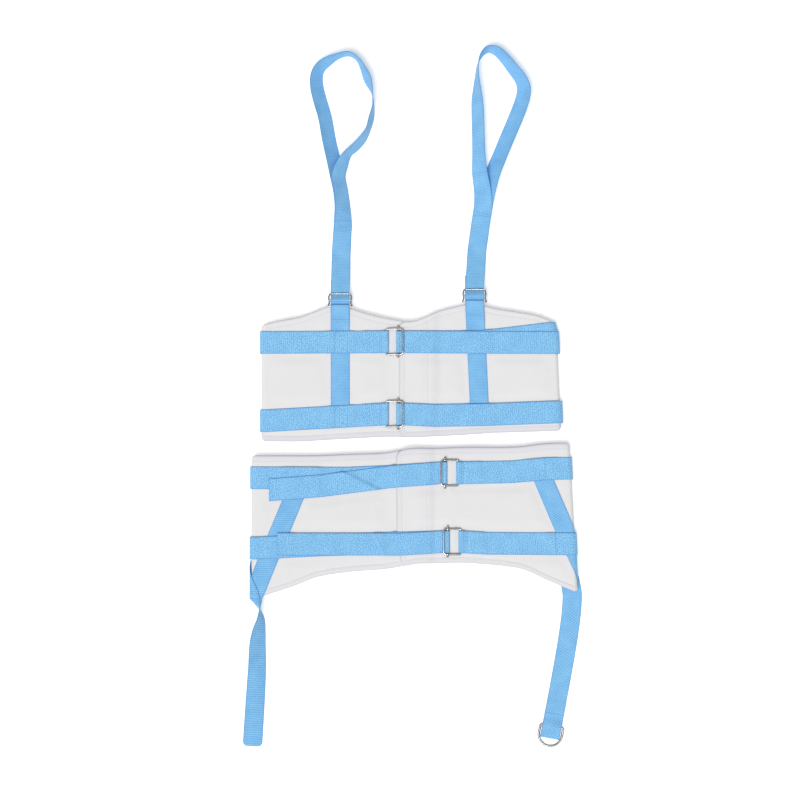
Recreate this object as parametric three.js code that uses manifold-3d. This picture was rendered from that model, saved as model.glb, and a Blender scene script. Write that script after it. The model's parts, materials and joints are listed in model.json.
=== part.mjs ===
// Lumbar traction belt: a chest belt with two shoulder loops and a pelvic belt with two pull straps.
// It lies on its back on the plane z = 0, +Y towards the shoulder loops, +Z up from the front.
// Units are millimetres. The origin is the middle of the outline, on the plane it lies on.
import * as THREE from 'three';
import { mergeVertices } from 'three/addons/utils/BufferGeometryUtils.js';
import Module from 'manifold-3d';

const wasm = await Module();
wasm.setup();

// Driving dimensions of the cloth
const GAP = 0.3;
const WEBBING_THICKNESS = 1.3;
const BELT_WIDTH = 36;
const BELT_WIDTH_IN_BUCKLE = 35;
const SLING_WIDTH = 30;
const PULL_WIDTH = 31;
const PANEL_THICKNESS = 3;
const HOLLOW = 8;
const CORNER_RADIUS = 8;
const CORNER_STOPS = [1.2, 3.5, CORNER_RADIUS];

// Driving dimensions of the metal
const BUCKLE = { length: 27, halfWidth: 20.5, wire: 1.5, corner: 4 };
const SLIDE_BAR = { eye: 2.5, eyeLength: 4, knob: 1.9, knobOut: 0.76 };
const SLIDER = { wire: 1.3, middleBar: 10, middleLength: 35.4, topBar: 20.5, tilt: 12, lead: 3.5, tail: 34 };
const SLIDER_EDGE = [
  { x: 19.6, y: 0, round: 2.4 },
  { x: 17, y: 6, round: 2.5 },
  { x: 18.6, y: 14.5, round: 3 },
  { x: 16.4, y: SLIDER.topBar, round: 2.4 },
];
const RING = { wire: 1.75, halfBar: 18.75, arm: 13, corner: 3 };

// Fineness of the facets: sides of a wire, points of its bends, steps round a fold, and the longest step of
// a sheet where it lies straight
const WIRE_SIDES = 8;
const EYE_SIDES = 10;
const KNOB_RINGS = 5;
const STEPS = {
  buckleBend: 3,
  sliderBend: 2,
  ring: 16,
  fold: 8,
  wrap: 5,
  slideBar: 12,
  middleBar: 9,
  graze: 4,
};
const PANEL_PITCH = { front: 22, back: 30 };
const STRAP_PITCH = { front: 40, back: 90, riser: 45 };
const CORNER_PITCH = { flat: 60, wound: 9 };
const CORNER_COLUMNS = 9;
const CURVE_STEPS = 2;

// Heights of the layers: two webbing layers under the back panel, the hollow, then the front layers
const LAYER = WEBBING_THICKNESS + GAP;
const FLOOR_Z = WEBBING_THICKNESS / 2;
const PANEL_BACK_Z = 2 * LAYER + PANEL_THICKNESS / 2;
const PANEL_FRONT_Z = PANEL_BACK_Z + PANEL_THICKNESS + HOLLOW;
const FOLD_Z = (PANEL_BACK_Z + PANEL_FRONT_Z) / 2;
const FOLD_RADIUS = PANEL_FRONT_Z - FOLD_Z;
const STRAP_OVER_PANEL = PANEL_THICKNESS / 2 + GAP + WEBBING_THICKNESS / 2;
const FRONT_STRAP_Z = PANEL_FRONT_Z + STRAP_OVER_PANEL;
const OVERLAP_LIFT = PANEL_THICKNESS + GAP;
const HUMP_RUN = 12;
const EDGE_CLEARANCE = 1;

// Each belt's panel: the centres of its two folds, where its front ends stop, the run over which the
// right end climbs onto the left one, and the edges of the panel along X. The right fold leans: its cloth is
// shifted along X by slope for each millimetre above level, more and more from a place on.
const CHEST = {
  side: 1,
  leftFold: -236.6,
  rightFold: 229.7,
  hiddenEnd: 23,
  freeEnd: -23.2,
  climb: { low: 44, high: 27 },
  lean: { from: 130, slope: -0.045, level: -60 },
  outline: [
    { x: -246, top: 113, bottom: -72 },
    { x: -217, top: 120, bottom: -72.8 },
    { x: -178, top: 128, bottom: -72.8 },
    { x: -140, top: 142.5, bottom: -70.4 },
    { x: -117, top: 146, bottom: -69.3 },
    { x: -96, top: 139, bottom: -68 },
    { x: -76, top: 132.8, bottom: -67 },
    { x: -50, top: 126.4, bottom: -65.6 },
    { x: -25, top: 121.4, bottom: -65.6 },
    { x: -6, top: 119.2, bottom: -66.4 },
    { x: 14, top: 124.8, bottom: -65.6 },
    { x: 39, top: 136, bottom: -64.5 },
    { x: 78, top: 145.6, bottom: -62.4 },
    { x: 100, top: 148.8, bottom: -61 },
    { x: 129, top: 140.8, bottom: -59.2 },
    { x: 180, top: 134.4, bottom: -57.6 },
    { x: 212, top: 128.8, bottom: -56.6 },
    { x: 231, top: 120.5, bottom: -56 },
    { x: 237, top: 118, bottom: -56 },
  ],
};
const PELVIC = {
  side: -1,
  leftFold: -252.4,
  rightFold: 250,
  hiddenEnd: 18,
  freeEnd: -20,
  climb: { low: 36, high: 22 },
  lean: { from: 90, slope: -0.055, level: -202 },
  outline: [
    { x: -260, top: -95.2, bottom: -325 },
    { x: -230, top: -95.2, bottom: -316.8 },
    { x: -191, top: -95.2, bottom: -304 },
    { x: -153, top: -95, bottom: -289.6 },
    { x: -102, top: -92.8, bottom: -281.6 },
    { x: -50, top: -91.2, bottom: -277.6 },
    { x: -20, top: -86.4, bottom: -273 },
    { x: 1, top: -83.2, bottom: -268.8 },
    { x: 39, top: -83.2, bottom: -268 },
    { x: 78, top: -81.6, bottom: -267.2 },
    { x: 116, top: -81.6, bottom: -269.6 },
    { x: 154, top: -81.6, bottom: -273.6 },
    { x: 180, top: -80, bottom: -280 },
    { x: 206, top: -76.8, bottom: -293 },
    { x: 231, top: -75.2, bottom: -304 },
    { x: 257, top: -75.2, bottom: -315.2 },
  ],
};

// Each belt strap: the buckle's fixed bar and slide bar, the strap's middle line as x and y along the leg
// sewn to the buckle, along the leg threaded into it and along the tail, and what it passes over as from
// and to. A tail with a wrap goes on round the far fold by that many degrees.
const BELT_STRAPS = [
  {
    name: 'chest_upper',
    belt: CHEST,
    fixedBar: -43,
    slideBar: 18.6,
    sewn: [{ x: -43, y: 86.6 }, { x: -236, y: 85.6 }],
    threaded: [{ x: -16, y: 86.6 }, { x: 105, y: 87 }, { x: 230, y: 100.4 }],
    tail: [{ x: -16, y: 86.6 }, { x: 150, y: 85.6 }, { x: 230, y: 85.4 }],
    tailEnd: 229.7,
    tailWrap: 100,
    passes: [{ from: -134, to: -101 }, { from: 84, to: 118 }],
  },
  {
    name: 'chest_lower',
    belt: CHEST,
    fixedBar: -43,
    slideBar: 18.6,
    sewn: [{ x: -43, y: -28.8 }, { x: -236, y: -39.6 }],
    threaded: [{ x: -16, y: -28.8 }, { x: 34, y: -31.2 }, { x: 120, y: -29.8 }, { x: 230, y: -25.6 }],
    tail: [{ x: -16, y: -28.8 }, { x: 34, y: -31.2 }, { x: 120, y: -29.8 }, { x: 230, y: -25.6 }],
    tailEnd: 229.7,
    tailWrap: 90,
    passes: [{ from: -134, to: -101 }, { from: 88, to: 123 }],
  },
  {
    name: 'pelvic_upper',
    belt: PELVIC,
    fixedBar: 71,
    slideBar: 20.6,
    sewn: [{ x: 71, y: -123 }, { x: 160, y: -121.2 }, { x: 212, y: -116.6 }, { x: 250, y: -115.6 }],
    threaded: [{ x: 44, y: -123 }, { x: -40, y: -128.5 }, { x: -107, y: -131.5 }, { x: -252, y: -130.8 }],
    tail: [{ x: 44, y: -123 }, { x: -31, y: -128.5 }, { x: -145, y: -143.3 }, { x: -231, y: -150.2 }],
    tailEnd: -231,
    tailWrap: 0,
    passes: [{ from: -204, to: -156 }, { from: 186, to: 230 }],
  },
  {
    name: 'pelvic_lower',
    belt: PELVIC,
    fixedBar: 75,
    slideBar: 20.6,
    sewn: [{ x: 75, y: -233 }, { x: 118, y: -235.6 }, { x: 250, y: -236.5 }],
    threaded: [{ x: 48, y: -233 }, { x: -140, y: -238 }, { x: -252, y: -243.2 }],
    tail: [{ x: 48, y: -233 }, { x: -20, y: -237 }, { x: -218, y: -236.8 }],
    tailEnd: -218,
    tailWrap: 0,
    passes: [{ from: -400, to: -196 }, { from: 216, to: 400 }],
  },
];

// Along a belt strap, measured from the fixed bar: its hidden end, the cover over it, the seam by the buckle
// and where the strap is down on the panel again. By the end bar: where the strap arrives and where its tail
// is down again, and the angle at which the tail leaves the bar.
const SEWN_LOOP = { hidden: 34, cover: 35, seam: 12, settle: 43 };
const END_BAR = { arrive: 4, depart: 5, leave: 268 };

// Shoulder straps: where the slider's bottom bar lies, the riser's lower end, and the loop's rows. Each row
// gives the strap's middle, its roll about its own line and its lift over the layer it is sewn to.
const SHOULDER_STRAPS = [
  {
    name: 'left',
    slider: { x: -117.4, y: 143.5 },
    riserEnd: { x: -117.1, y: -46 },
    loop: [
      { x: -116, y: 226, roll: 0, lift: 0 },
      { x: -114.6, y: 252, roll: 8, lift: 0 },
      { x: -113.6, y: 275, roll: 20, lift: 0 },
      { x: -114.4, y: 304, roll: 38, lift: 0 },
      { x: -117.6, y: 330, roll: 42, lift: 0 },
      { x: -122.4, y: 352, roll: 42, lift: 0 },
      { x: -128, y: 378, roll: 43, lift: 0 },
      { x: -135.2, y: 410, roll: 44, lift: 0 },
      { x: -141.5, y: 445, roll: 44, lift: 0 },
      { x: -149, y: 471, roll: 44, lift: 0 },
      { x: -154.4, y: 493, roll: 46, lift: 0 },
      { x: -155.2, y: 511, roll: 50, lift: 0 },
      { x: -150, y: 525, roll: 56, lift: 0 },
      { x: -138.4, y: 535, roll: 62, lift: 0 },
      { x: -121, y: 544, roll: 76, lift: 0 },
      { x: -104, y: 547.5, roll: 80, lift: 0 },
      { x: -90.4, y: 540, roll: 82, lift: 0 },
      { x: -81.5, y: 526, roll: 75, lift: 0 },
      { x: -73, y: 506, roll: 67, lift: 0 },
      { x: -66, y: 484, roll: 88, lift: 0 },
      { x: -64.5, y: 464, roll: 95, lift: 0 },
      { x: -67.5, y: 445, roll: 105, lift: 0 },
      { x: -72.5, y: 427, roll: 104, lift: 0 },
      { x: -81, y: 412, roll: 112, lift: 0 },
      { x: -92, y: 399.5, roll: 114, lift: 0 },
      { x: -105, y: 388, roll: 114, lift: 0.2 },
      { x: -115, y: 371, roll: 131, lift: 0.8 },
      { x: -121.2, y: 351, roll: 138, lift: 1.6 },
      { x: -117.6, y: 330, roll: 138, lift: 1.6 },
      { x: -114.4, y: 304, roll: 142, lift: 1.6 },
      { x: -113.6, y: 275, roll: 160, lift: 1.7 },
      { x: -113.9, y: 265, roll: 164.5, lift: 1.9 },
    ],
  },
  {
    name: 'right',
    slider: { x: 97.6, y: 150.5 },
    riserEnd: { x: 106.5, y: -42 },
    loop: [
      { x: 101.6, y: 232, roll: 0, lift: 0 },
      { x: 104.4, y: 252, roll: -2, lift: 0 },
      { x: 108, y: 278.4, roll: -5, lift: 0 },
      { x: 112.8, y: 307, roll: -14, lift: 0 },
      { x: 118.4, y: 330, roll: -26, lift: 0 },
      { x: 126, y: 354, roll: -36, lift: 0 },
      { x: 136.8, y: 381, roll: -40, lift: 0 },
      { x: 148.8, y: 410, roll: -40, lift: 0 },
      { x: 158.5, y: 433, roll: -40, lift: 0 },
      { x: 168, y: 456, roll: -40, lift: 0 },
      { x: 175, y: 477, roll: -42, lift: 0 },
      { x: 176.8, y: 493, roll: -46, lift: 0 },
      { x: 171.2, y: 508, roll: -52, lift: 0 },
      { x: 159.2, y: 524, roll: -56, lift: 0 },
      { x: 146.4, y: 540, roll: -60, lift: 0 },
      { x: 133.6, y: 552, roll: -64, lift: 0 },
      { x: 120, y: 555, roll: -72, lift: 0 },
      { x: 109, y: 546, roll: -82, lift: 0 },
      { x: 103.2, y: 531, roll: -92, lift: 0 },
      { x: 101.6, y: 512, roll: -100, lift: 0 },
      { x: 101.6, y: 493, roll: -112, lift: 0 },
      { x: 102, y: 474, roll: -125, lift: 0 },
      { x: 103, y: 448, roll: -130, lift: 0 },
      { x: 103.8, y: 418, roll: -130, lift: 0 },
      { x: 104.6, y: 386, roll: -133, lift: 0 },
      { x: 106.4, y: 358, roll: -144, lift: 0.3 },
      { x: 111, y: 330, roll: -154, lift: 1 },
      { x: 112.2, y: 307, roll: -166, lift: 1.6 },
      { x: 109.6, y: 288, roll: -172.5, lift: 1.6 },
    ],
  },
];
// Along a riser, measured down from the slider's bottom bar: the hidden end and the cover over it, the two
// lips of the loop, where the riser is down on the panel again and where it runs straight
const RISER = { hidden: 26, cover: 27, innerLip: 10, outerLip: 13, settle: 38, straight: 58 };
const DESCENT_SHARES = [0.33, 0.66];

// Corner straps of the pelvic belt. On the panel a row gives q, the distance from the fold's start measured
// round the belt and positive past it, and y. Free of the panel a row gives x, y and roll. A strap lies flat
// down to windsFrom and winds round the fold from there.
const LEFT_PULL = {
  windsFrom: -266,
  laid: [{ q: -66, y: -150 }, { q: -19.6, y: -262 }, { q: 6.5, y: -326 }],
  free: [
    { x: -246.5, y: -341, roll: 88 },
    { x: -244.6, y: -358, roll: 112 },
    { x: -247.6, y: -378, roll: 132 },
    { x: -249.8, y: -400, roll: 145 },
    { x: -250.6, y: -435, roll: 155 },
    { x: -252.8, y: -474, roll: 164 },
    { x: -255.2, y: -512, roll: 172 },
    { x: -257.6, y: -550, roll: 178 },
    { x: -258.2, y: -561.5, roll: 178 },
  ],
};
const LEFT_BACK = {
  windsFrom: -263,
  laid: [{ q: 36.8, y: -263 }, { q: 13.3, y: -310 }, { q: 9.5, y: -325 }],
};
const RIGHT_DIAGONAL = {
  windsFrom: -190,
  laid: [{ q: -42.6, y: -125 }, { q: -8, y: -214.4 }, { q: 27.4, y: -300 }],
};
const TWIST_SHARES = [0.25, 0.5, 0.75];

// The right pull strap's middle line, and its end looped round the D-ring: distances along the ring's
// heading from the ring's bar
const RIGHT_PULL = [
  { x: 243, y: -272 },
  { x: 250, y: -294 },
  { x: 254.2, y: -314 },
  { x: 254.4, y: -330 },
  { x: 252, y: -358 },
  { x: 246.4, y: -397 },
  { x: 239.5, y: -437 },
];
const RING_BAR = { x: 222, y: -529.6, z: 3.35 };
const RING_HEADING = new THREE.Vector2(-0.189, -0.982).normalize();
const RING_LOOP = {
  join: 60,
  rise: 46,
  rest: 36,
  meet: 14,
  crest: 20,
  fold: 17.5,
  foldRadius: 1.55,
  hidden: 30,
};
const RING_DROOP = 2.8;

// Materials
const WEBBING_BLUE = { color: 0x7fbcf0, roughness: 0.85, metalness: 0 };
const PANEL_WHITE = { color: 0xe6e5ea, roughness: 0.9, metalness: 0 };
const STEEL = { color: 0xc4c6c8, roughness: 0.25, metalness: 1 };

const UP = new THREE.Vector3(0, 0, 1);
const harness = new THREE.Group();

function addMesh(parent, name, geometry, finish) {
  const mesh = new THREE.Mesh(geometry, new THREE.MeshStandardMaterial(finish));
  mesh.name = name;
  parent.add(mesh);
  return mesh;
}

// A closed body from its corners and triangles, turned so that its faces point out
function closedBody(corners, triangles) {
  let volume = 0;
  for (const [a, b, c] of triangles) {
    volume += corners[a].dot(new THREE.Vector3().crossVectors(corners[b], corners[c]));
  }
  const outward = volume > 0 ? triangles : triangles.map(([a, b, c]) => [a, c, b]);
  const geometry = new THREE.BufferGeometry();
  geometry.setFromPoints(corners);
  geometry.setIndex(outward.flat());
  geometry.computeVertexNormals();
  return geometry;
}

// A sheet of cloth around its middle surface, given as rows of points from edge to edge
function sheet(rows, thickness) {
  const last = rows.length - 1;
  const edge = rows[0].length - 1;
  const width = edge + 1;
  const faces = [];
  for (const lift of [thickness / 2, -thickness / 2]) {
    for (let i = 0; i <= last; i++) {
      for (let j = 0; j <= edge; j++) {
        const ahead = rows[Math.min(i + 1, last)][j].clone().sub(rows[Math.max(i - 1, 0)][j]);
        const across = rows[i][Math.min(j + 1, edge)].clone().sub(rows[i][Math.max(j - 1, 0)]);
        const normal = across.cross(ahead).normalize();
        faces.push(rows[i][j].clone().addScaledVector(normal, lift));
      }
    }
  }
  const lower = rows.length * width;
  const triangles = [];
  const quad = (a, b, c, d) => {
    const straight = faces[a].distanceTo(faces[c]) <= faces[b].distanceTo(faces[d]);
    if (straight) triangles.push([a, b, c], [a, c, d]);
    else triangles.push([a, b, d], [b, c, d]);
  };
  for (let i = 0; i < last; i++) {
    for (let j = 0; j < edge; j++) {
      const a = i * width + j;
      quad(a, a + 1, a + width + 1, a + width);
      quad(lower + a, lower + a + width, lower + a + width + 1, lower + a + 1);
    }
    const left = i * width;
    const right = left + edge;
    quad(left, left + width, lower + left + width, lower + left);
    quad(right, lower + right, lower + right + width, right + width);
  }
  for (let j = 0; j < edge; j++) {
    const end = last * width + j;
    quad(j, lower + j, lower + j + 1, j + 1);
    quad(end, end + 1, lower + end + 1, lower + end);
  }
  return closedBody(faces, triangles);
}

// A round wire along a closed flat loop in the XY plane
function wireLoop(loop, radius) {
  const corners = [];
  const triangles = [];
  const count = loop.length;
  for (let i = 0; i < count; i++) {
    const ahead = loop[(i + 1) % count].clone().sub(loop[(i + count - 1) % count]).normalize();
    for (let k = 0; k < WIRE_SIDES; k++) {
      const turn = (2 * Math.PI * k) / WIRE_SIDES;
      const out = radius * Math.cos(turn);
      corners.push(new THREE.Vector3(
        loop[i].x + out * ahead.y,
        loop[i].y - out * ahead.x,
        radius * Math.sin(turn),
      ));
      const next = (k + 1) % WIRE_SIDES;
      const here = i * WIRE_SIDES;
      const there = ((i + 1) % count) * WIRE_SIDES;
      triangles.push([here + k, here + next, there + next], [here + k, there + next, there + k]);
    }
  }
  return closedBody(corners, triangles);
}

function roundedCorner(before, at, after, round, steps) {
  const start = at.clone().add(before.clone().sub(at).setLength(round));
  const end = at.clone().add(after.clone().sub(at).setLength(round));
  return new THREE.QuadraticBezierCurve(start, at, end).getPoints(steps);
}

// A polygon whose corners are rounded, each over its own distance
function roundedLoop(vertices, steps) {
  const points = vertices.map(({ x, y }) => new THREE.Vector2(x, y));
  return vertices.flatMap(({ round }, i) => {
    const before = points.at(i - 1);
    const after = points[(i + 1) % points.length];
    return roundedCorner(before, points[i], after, round, steps);
  });
}

function toSolid(geometry) {
  const bare = geometry.clone();
  bare.deleteAttribute('normal');
  bare.deleteAttribute('uv');
  const merged = mergeVertices(bare, 1e-4);
  return new wasm.Manifold(new wasm.Mesh({
    numProp: 3,
    vertProperties: new Float32Array(merged.attributes.position.array),
    triVerts: new Uint32Array(merged.index.array),
  }));
}

function toGeometry(solid) {
  const mesh = solid.getMesh();
  const geometry = new THREE.BufferGeometry();
  geometry.setAttribute('position', new THREE.BufferAttribute(mesh.vertProperties, 3));
  geometry.setIndex(new THREE.BufferAttribute(mesh.triVerts, 1));
  geometry.computeVertexNormals();
  return geometry;
}

// Straight line through a table's rows, at x or any other column
function along(rows, key, value, want) {
  const sorted = [...rows].sort((a, b) => a[key] - b[key]);
  const inside = Math.min(Math.max(value, sorted[0][key]), sorted.at(-1)[key]);
  const i = Math.min(sorted.findLastIndex((row) => row[key] <= inside), sorted.length - 2);
  const share = (inside - sorted[i][key]) / (sorted[i + 1][key] - sorted[i][key]);
  return THREE.MathUtils.lerp(sorted[i][want], sorted[i + 1][want], share);
}

// Smooth curve through a table's rows, every column alike
function smooth(rows, steps) {
  const keys = Object.keys(rows[0]);
  const result = [];
  for (let i = 0; i < rows.length - 1; i++) {
    const four = [rows[Math.max(i - 1, 0)], rows[i], rows[i + 1], rows[Math.min(i + 2, rows.length - 1)]];
    for (let k = 0; k < steps; k++) {
      const values = keys.map((key) => [key, between(four.map((row) => row[key]), k / steps)]);
      result.push(Object.fromEntries(values));
    }
  }
  result.push({ ...rows.at(-1) });
  return result;
}

function between([a, b, c, d], t) {
  const even = 2 * b + (c - a) * t;
  const bend = (2 * a - 5 * b + 4 * c - d) * t * t + (3 * b - a - 3 * c + d) * t * t * t;
  return (even + bend) / 2;
}

// Places from start to end no further apart than the pitch, with the given breaks among them
function places(start, end, pitch, breaks = []) {
  const low = Math.min(start, end);
  const high = Math.max(start, end);
  const inside = breaks.filter((x) => x > low + GAP && x < high - GAP);
  const stops = [low, ...inside, high].sort((a, b) => a - b);
  const result = [low];
  for (let i = 1; i < stops.length; i++) {
    const run = stops[i] - stops[i - 1];
    const count = Math.ceil(run / pitch);
    for (let k = 1; k <= count; k++) result.push(stops[i - 1] + (run * k) / count);
  }
  return start < end ? result : result.reverse();
}

function arc(x, z, radius, from, to, steps) {
  const points = [];
  for (let k = 0; k <= steps; k++) {
    const turn = THREE.MathUtils.degToRad(from + ((to - from) * k) / steps);
    points.push({ x: x + radius * Math.cos(turn), z: z + radius * Math.sin(turn) });
  }
  return points;
}

function rampShare(x, from, to) {
  return THREE.MathUtils.clamp((x - from) / (to - from), 0, 1);
}

// How far the right front end of a panel stands up because it lies over the left one
function overlapLift(panel, x) {
  return OVERLAP_LIFT * (1 - rampShare(x, panel.climb.high, panel.climb.low));
}

// Rows of a belt's cloth, shifted along X where its right fold leans
function leaned({ lean, rightFold }, rows) {
  const shift = ({ x, y }) => rampShare(x, lean.from, rightFold) * lean.slope * (y - lean.level);
  return rows.map((row) => row.map((point) => point.clone().setX(point.x + shift(point))));
}

function addPanel(name, panel) {
  const { leftFold, rightFold, hiddenEnd, freeEnd, climb } = panel;
  const overBreaks = [climb.high, climb.low, ...CORNER_STOPS.map((stop) => freeEnd + stop)];
  const path = [
    ...places(hiddenEnd, leftFold, PANEL_PITCH.front).map((x) => ({ x, z: PANEL_FRONT_Z })),
    ...arc(leftFold, FOLD_Z, FOLD_RADIUS, 90, 270, STEPS.fold).slice(1, -1),
    ...places(leftFold, rightFold, PANEL_PITCH.back).map((x) => ({ x, z: PANEL_BACK_Z })),
    ...arc(rightFold, FOLD_Z, FOLD_RADIUS, -90, 90, STEPS.fold).slice(1, -1),
    ...places(rightFold, freeEnd, PANEL_PITCH.front, overBreaks)
      .map((x) => ({ x, z: PANEL_FRONT_Z + overlapLift(panel, x), over: true })),
  ];
  const rows = path.map(({ x, z, over }) => {
    const short = over ? Math.max(CORNER_RADIUS - (x - freeEnd), 0) : 0;
    const inset = CORNER_RADIUS - Math.sqrt(CORNER_RADIUS ** 2 - short ** 2);
    const top = along(panel.outline, 'x', x, 'top') - inset;
    const bottom = along(panel.outline, 'x', x, 'bottom') + inset;
    return [new THREE.Vector3(x, top, z), new THREE.Vector3(x, bottom, z)];
  });
  addMesh(harness, name, sheet(leaned(panel, rows), PANEL_THICKNESS), PANEL_WHITE);
}

// Height of a belt strap's middle on the front of its panel
function strapHeight(strap, x) {
  const { freeEnd, climb } = strap.belt;
  const up = rampShare(x, freeEnd - HUMP_RUN - GAP, freeEnd - EDGE_CLEARANCE);
  const down = rampShare(x, climb.high, climb.low);
  let height = FRONT_STRAP_Z + OVERLAP_LIFT * up * (1 - down);
  for (const { from, to } of strap.passes) {
    height += LAYER * rampShare(x, from - HUMP_RUN, from) * (1 - rampShare(x, to, to + HUMP_RUN));
  }
  return height;
}

function heightBreaks(strap) {
  const { freeEnd, climb } = strap.belt;
  const humps = strap.passes.flatMap(({ from, to }) => [from - HUMP_RUN, from, to, to + HUMP_RUN]);
  return [...humps, freeEnd - HUMP_RUN - GAP, freeEnd - EDGE_CLEARANCE, climb.high, climb.low];
}

// Where a buckle's frame lies: its fixed bar, and its lift from there to the end bar
function buckleSeat(strap) {
  const { side } = strap.belt;
  const around = BUCKLE.wire + GAP + WEBBING_THICKNESS / 2;
  const fixedZ = FRONT_STRAP_Z + around;
  const endZ = strapHeight(strap, strap.fixedBar + side * BUCKLE.length) + LAYER + around;
  const pitch = Math.asin((endZ - fixedZ) / BUCKLE.length);
  const place = (u, v) => ({
    x: strap.fixedBar + side * (u * Math.cos(pitch) - v * Math.sin(pitch)),
    z: fixedZ + u * Math.sin(pitch) + v * Math.cos(pitch),
  });
  return { side, around, fixedZ, pitch, place };
}

function addBeltStrap(strap) {
  const { side, around, fixedZ, place } = buckleSeat(strap);
  const breaks = heightBreaks(strap);
  const nearFold = side > 0 ? strap.belt.leftFold : strap.belt.rightFold;
  const farFold = side > 0 ? strap.belt.rightFold : strap.belt.leftFold;
  const level = (x) => strapHeight(strap, x);
  const back = (distance) => strap.fixedBar - side * distance;
  const turned = (points, y) => points.map((point) => ({ ...point, y }));
  const sewnY = (x) => along(strap.sewn, 'x', x, 'y');
  const threadedY = (x) => along(strap.threaded, 'x', x, 'y');
  const tailY = (x) => along(strap.tail, 'x', x, 'y');
  const backLine = [{ x: nearFold, y: sewnY(nearFold) }, { x: farFold, y: threadedY(farFold) }];
  const backY = (x) => along(backLine, 'x', x, 'y');

  // The sewn end goes under itself to the fixed bar, round it and back over itself
  const loop = [
    { x: back(SEWN_LOOP.hidden), z: FRONT_STRAP_Z },
    { x: back(SEWN_LOOP.seam), z: FRONT_STRAP_Z },
    ...arc(0, 0, around, -90, 90, STEPS.fold)
      .map(({ x, z }) => ({ x: strap.fixedBar + side * x, z: fixedZ + z })),
    { x: back(SEWN_LOOP.seam), z: FRONT_STRAP_Z + LAYER },
    { x: back(SEWN_LOOP.cover), z: FRONT_STRAP_Z + LAYER },
  ].map((point) => ({ ...point, y: sewnY(point.x) }));

  // Round the belt: near fold, back, far fold
  const foldArc = (fold, lift, from, to, steps) => {
    const radius = (level(fold) + lift - FLOOR_Z) / 2 + (lift ? LAYER / 2 : 0);
    const middle = level(fold) + lift - radius;
    const outward = fold === nearFold ? -side : side;
    return arc(0, 0, radius, from, to, steps).map(({ x, z }) => ({ x: fold + outward * x, z: middle + z }));
  };
  const round = [
    ...places(back(SEWN_LOOP.settle), nearFold, STRAP_PITCH.front, breaks)
      .map((x) => ({ x, z: level(x), y: sewnY(x) })),
    ...turned(foldArc(nearFold, 0, 90, -90, STEPS.fold).slice(1, -1), sewnY(nearFold)),
    ...places(nearFold, farFold, STRAP_PITCH.back).map((x) => ({ x, z: FLOOR_Z, y: backY(x) })),
    ...turned(foldArc(farFold, 0, -90, 90, STEPS.fold).slice(1, -1), threadedY(farFold)),
  ];

  // Into the buckle: under the end bar, round the slide bar, back under the end bar
  const end = { u: BUCKLE.length, v: -around - LAYER };
  const reach = Math.hypot(end.u - strap.slideBar, end.v);
  const meet = Math.atan2(end.v, end.u - strap.slideBar) - Math.acos(around / reach);
  const cross = Math.asin((2 * around) / (BUCKLE.length - strap.slideBar));
  const leave = 90 - THREE.MathUtils.radToDeg(cross);
  const endBar = place(end.u, end.v).x;
  const threaded = places(farFold, endBar + side * END_BAR.arrive, STRAP_PITCH.front, breaks)
    .map((x) => ({ x, z: level(x), y: threadedY(x) }));
  const turns = [
    { x: end.u, z: end.v },
    ...arc(strap.slideBar, 0, around, THREE.MathUtils.radToDeg(meet), leave - 360, STEPS.slideBar),
    ...arc(BUCKLE.length, 0, around, 180 + leave, END_BAR.leave, STEPS.graze),
  ].map(({ x, z }) => ({ ...place(x, z), y: threadedY(endBar), narrow: true }));
  const tail = places(endBar + side * END_BAR.depart, strap.tailEnd, STRAP_PITCH.front, breaks)
    .map((x) => ({ x, z: level(x) + LAYER, y: tailY(x) }));
  if (strap.tailWrap) {
    const wrap = foldArc(farFold, LAYER, 90, 90 - strap.tailWrap, STEPS.wrap).slice(1);
    tail.push(...turned(wrap, tailY(farFold)));
  }
  const rows = [...loop, ...round, ...threaded, ...turns, ...tail].map(({ x, y, z, narrow }) => {
    const half = (narrow ? BELT_WIDTH_IN_BUCKLE : BELT_WIDTH) / 2;
    return [new THREE.Vector3(x, y + half, z), new THREE.Vector3(x, y - half, z)];
  });
  addMesh(harness, `${strap.name}_strap`, sheet(leaned(strap.belt, rows), WEBBING_THICKNESS), WEBBING_BLUE);
}

function addBuckle(strap) {
  const { side, fixedZ, pitch } = buckleSeat(strap);
  const { length, halfWidth, wire, corner } = BUCKLE;
  const { eye, eyeLength, knob, knobOut } = SLIDE_BAR;
  const seat = new THREE.Group();
  seat.position.set(strap.fixedBar, strap.sewn[0].y, fixedZ);
  seat.rotation.set(0, -pitch, side > 0 ? 0 : Math.PI, 'ZYX');
  harness.add(seat);

  const corners = [[0, -halfWidth], [length, -halfWidth], [length, halfWidth], [0, halfWidth]];
  const loop = roundedLoop(corners.map(([x, y]) => ({ x, y, round: corner })), STEPS.buckleBend);
  addMesh(seat, `${strap.name}_buckle`, wireLoop(loop, wire), STEEL);

  let bar = toSolid(new THREE.CylinderGeometry(wire, wire, 2 * halfWidth + 2 * eye, WIRE_SIDES));
  for (const end of [-halfWidth, halfWidth]) {
    const outside = end + Math.sign(end) * (eye + knobOut);
    const sleeve = new THREE.CylinderGeometry(eye, eye, eyeLength, EYE_SIDES).rotateZ(Math.PI / 2);
    const tip = new THREE.SphereGeometry(knob, WIRE_SIDES, KNOB_RINGS);
    bar = bar.add(toSolid(sleeve.translate(0, end, 0))).add(toSolid(tip.translate(0, outside, 0)));
  }
  for (const end of [-halfWidth, halfWidth]) {
    const bore = new THREE.CylinderGeometry(wire + GAP, wire + GAP, 4 * eyeLength, WIRE_SIDES);
    bar = bar.subtract(toSolid(bore.rotateZ(Math.PI / 2).translate(0, end, 0)));
  }
  const slide = addMesh(seat, `${strap.name}_slide_bar`, toGeometry(bar), STEEL);
  slide.position.x = strap.slideBar;
}

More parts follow.
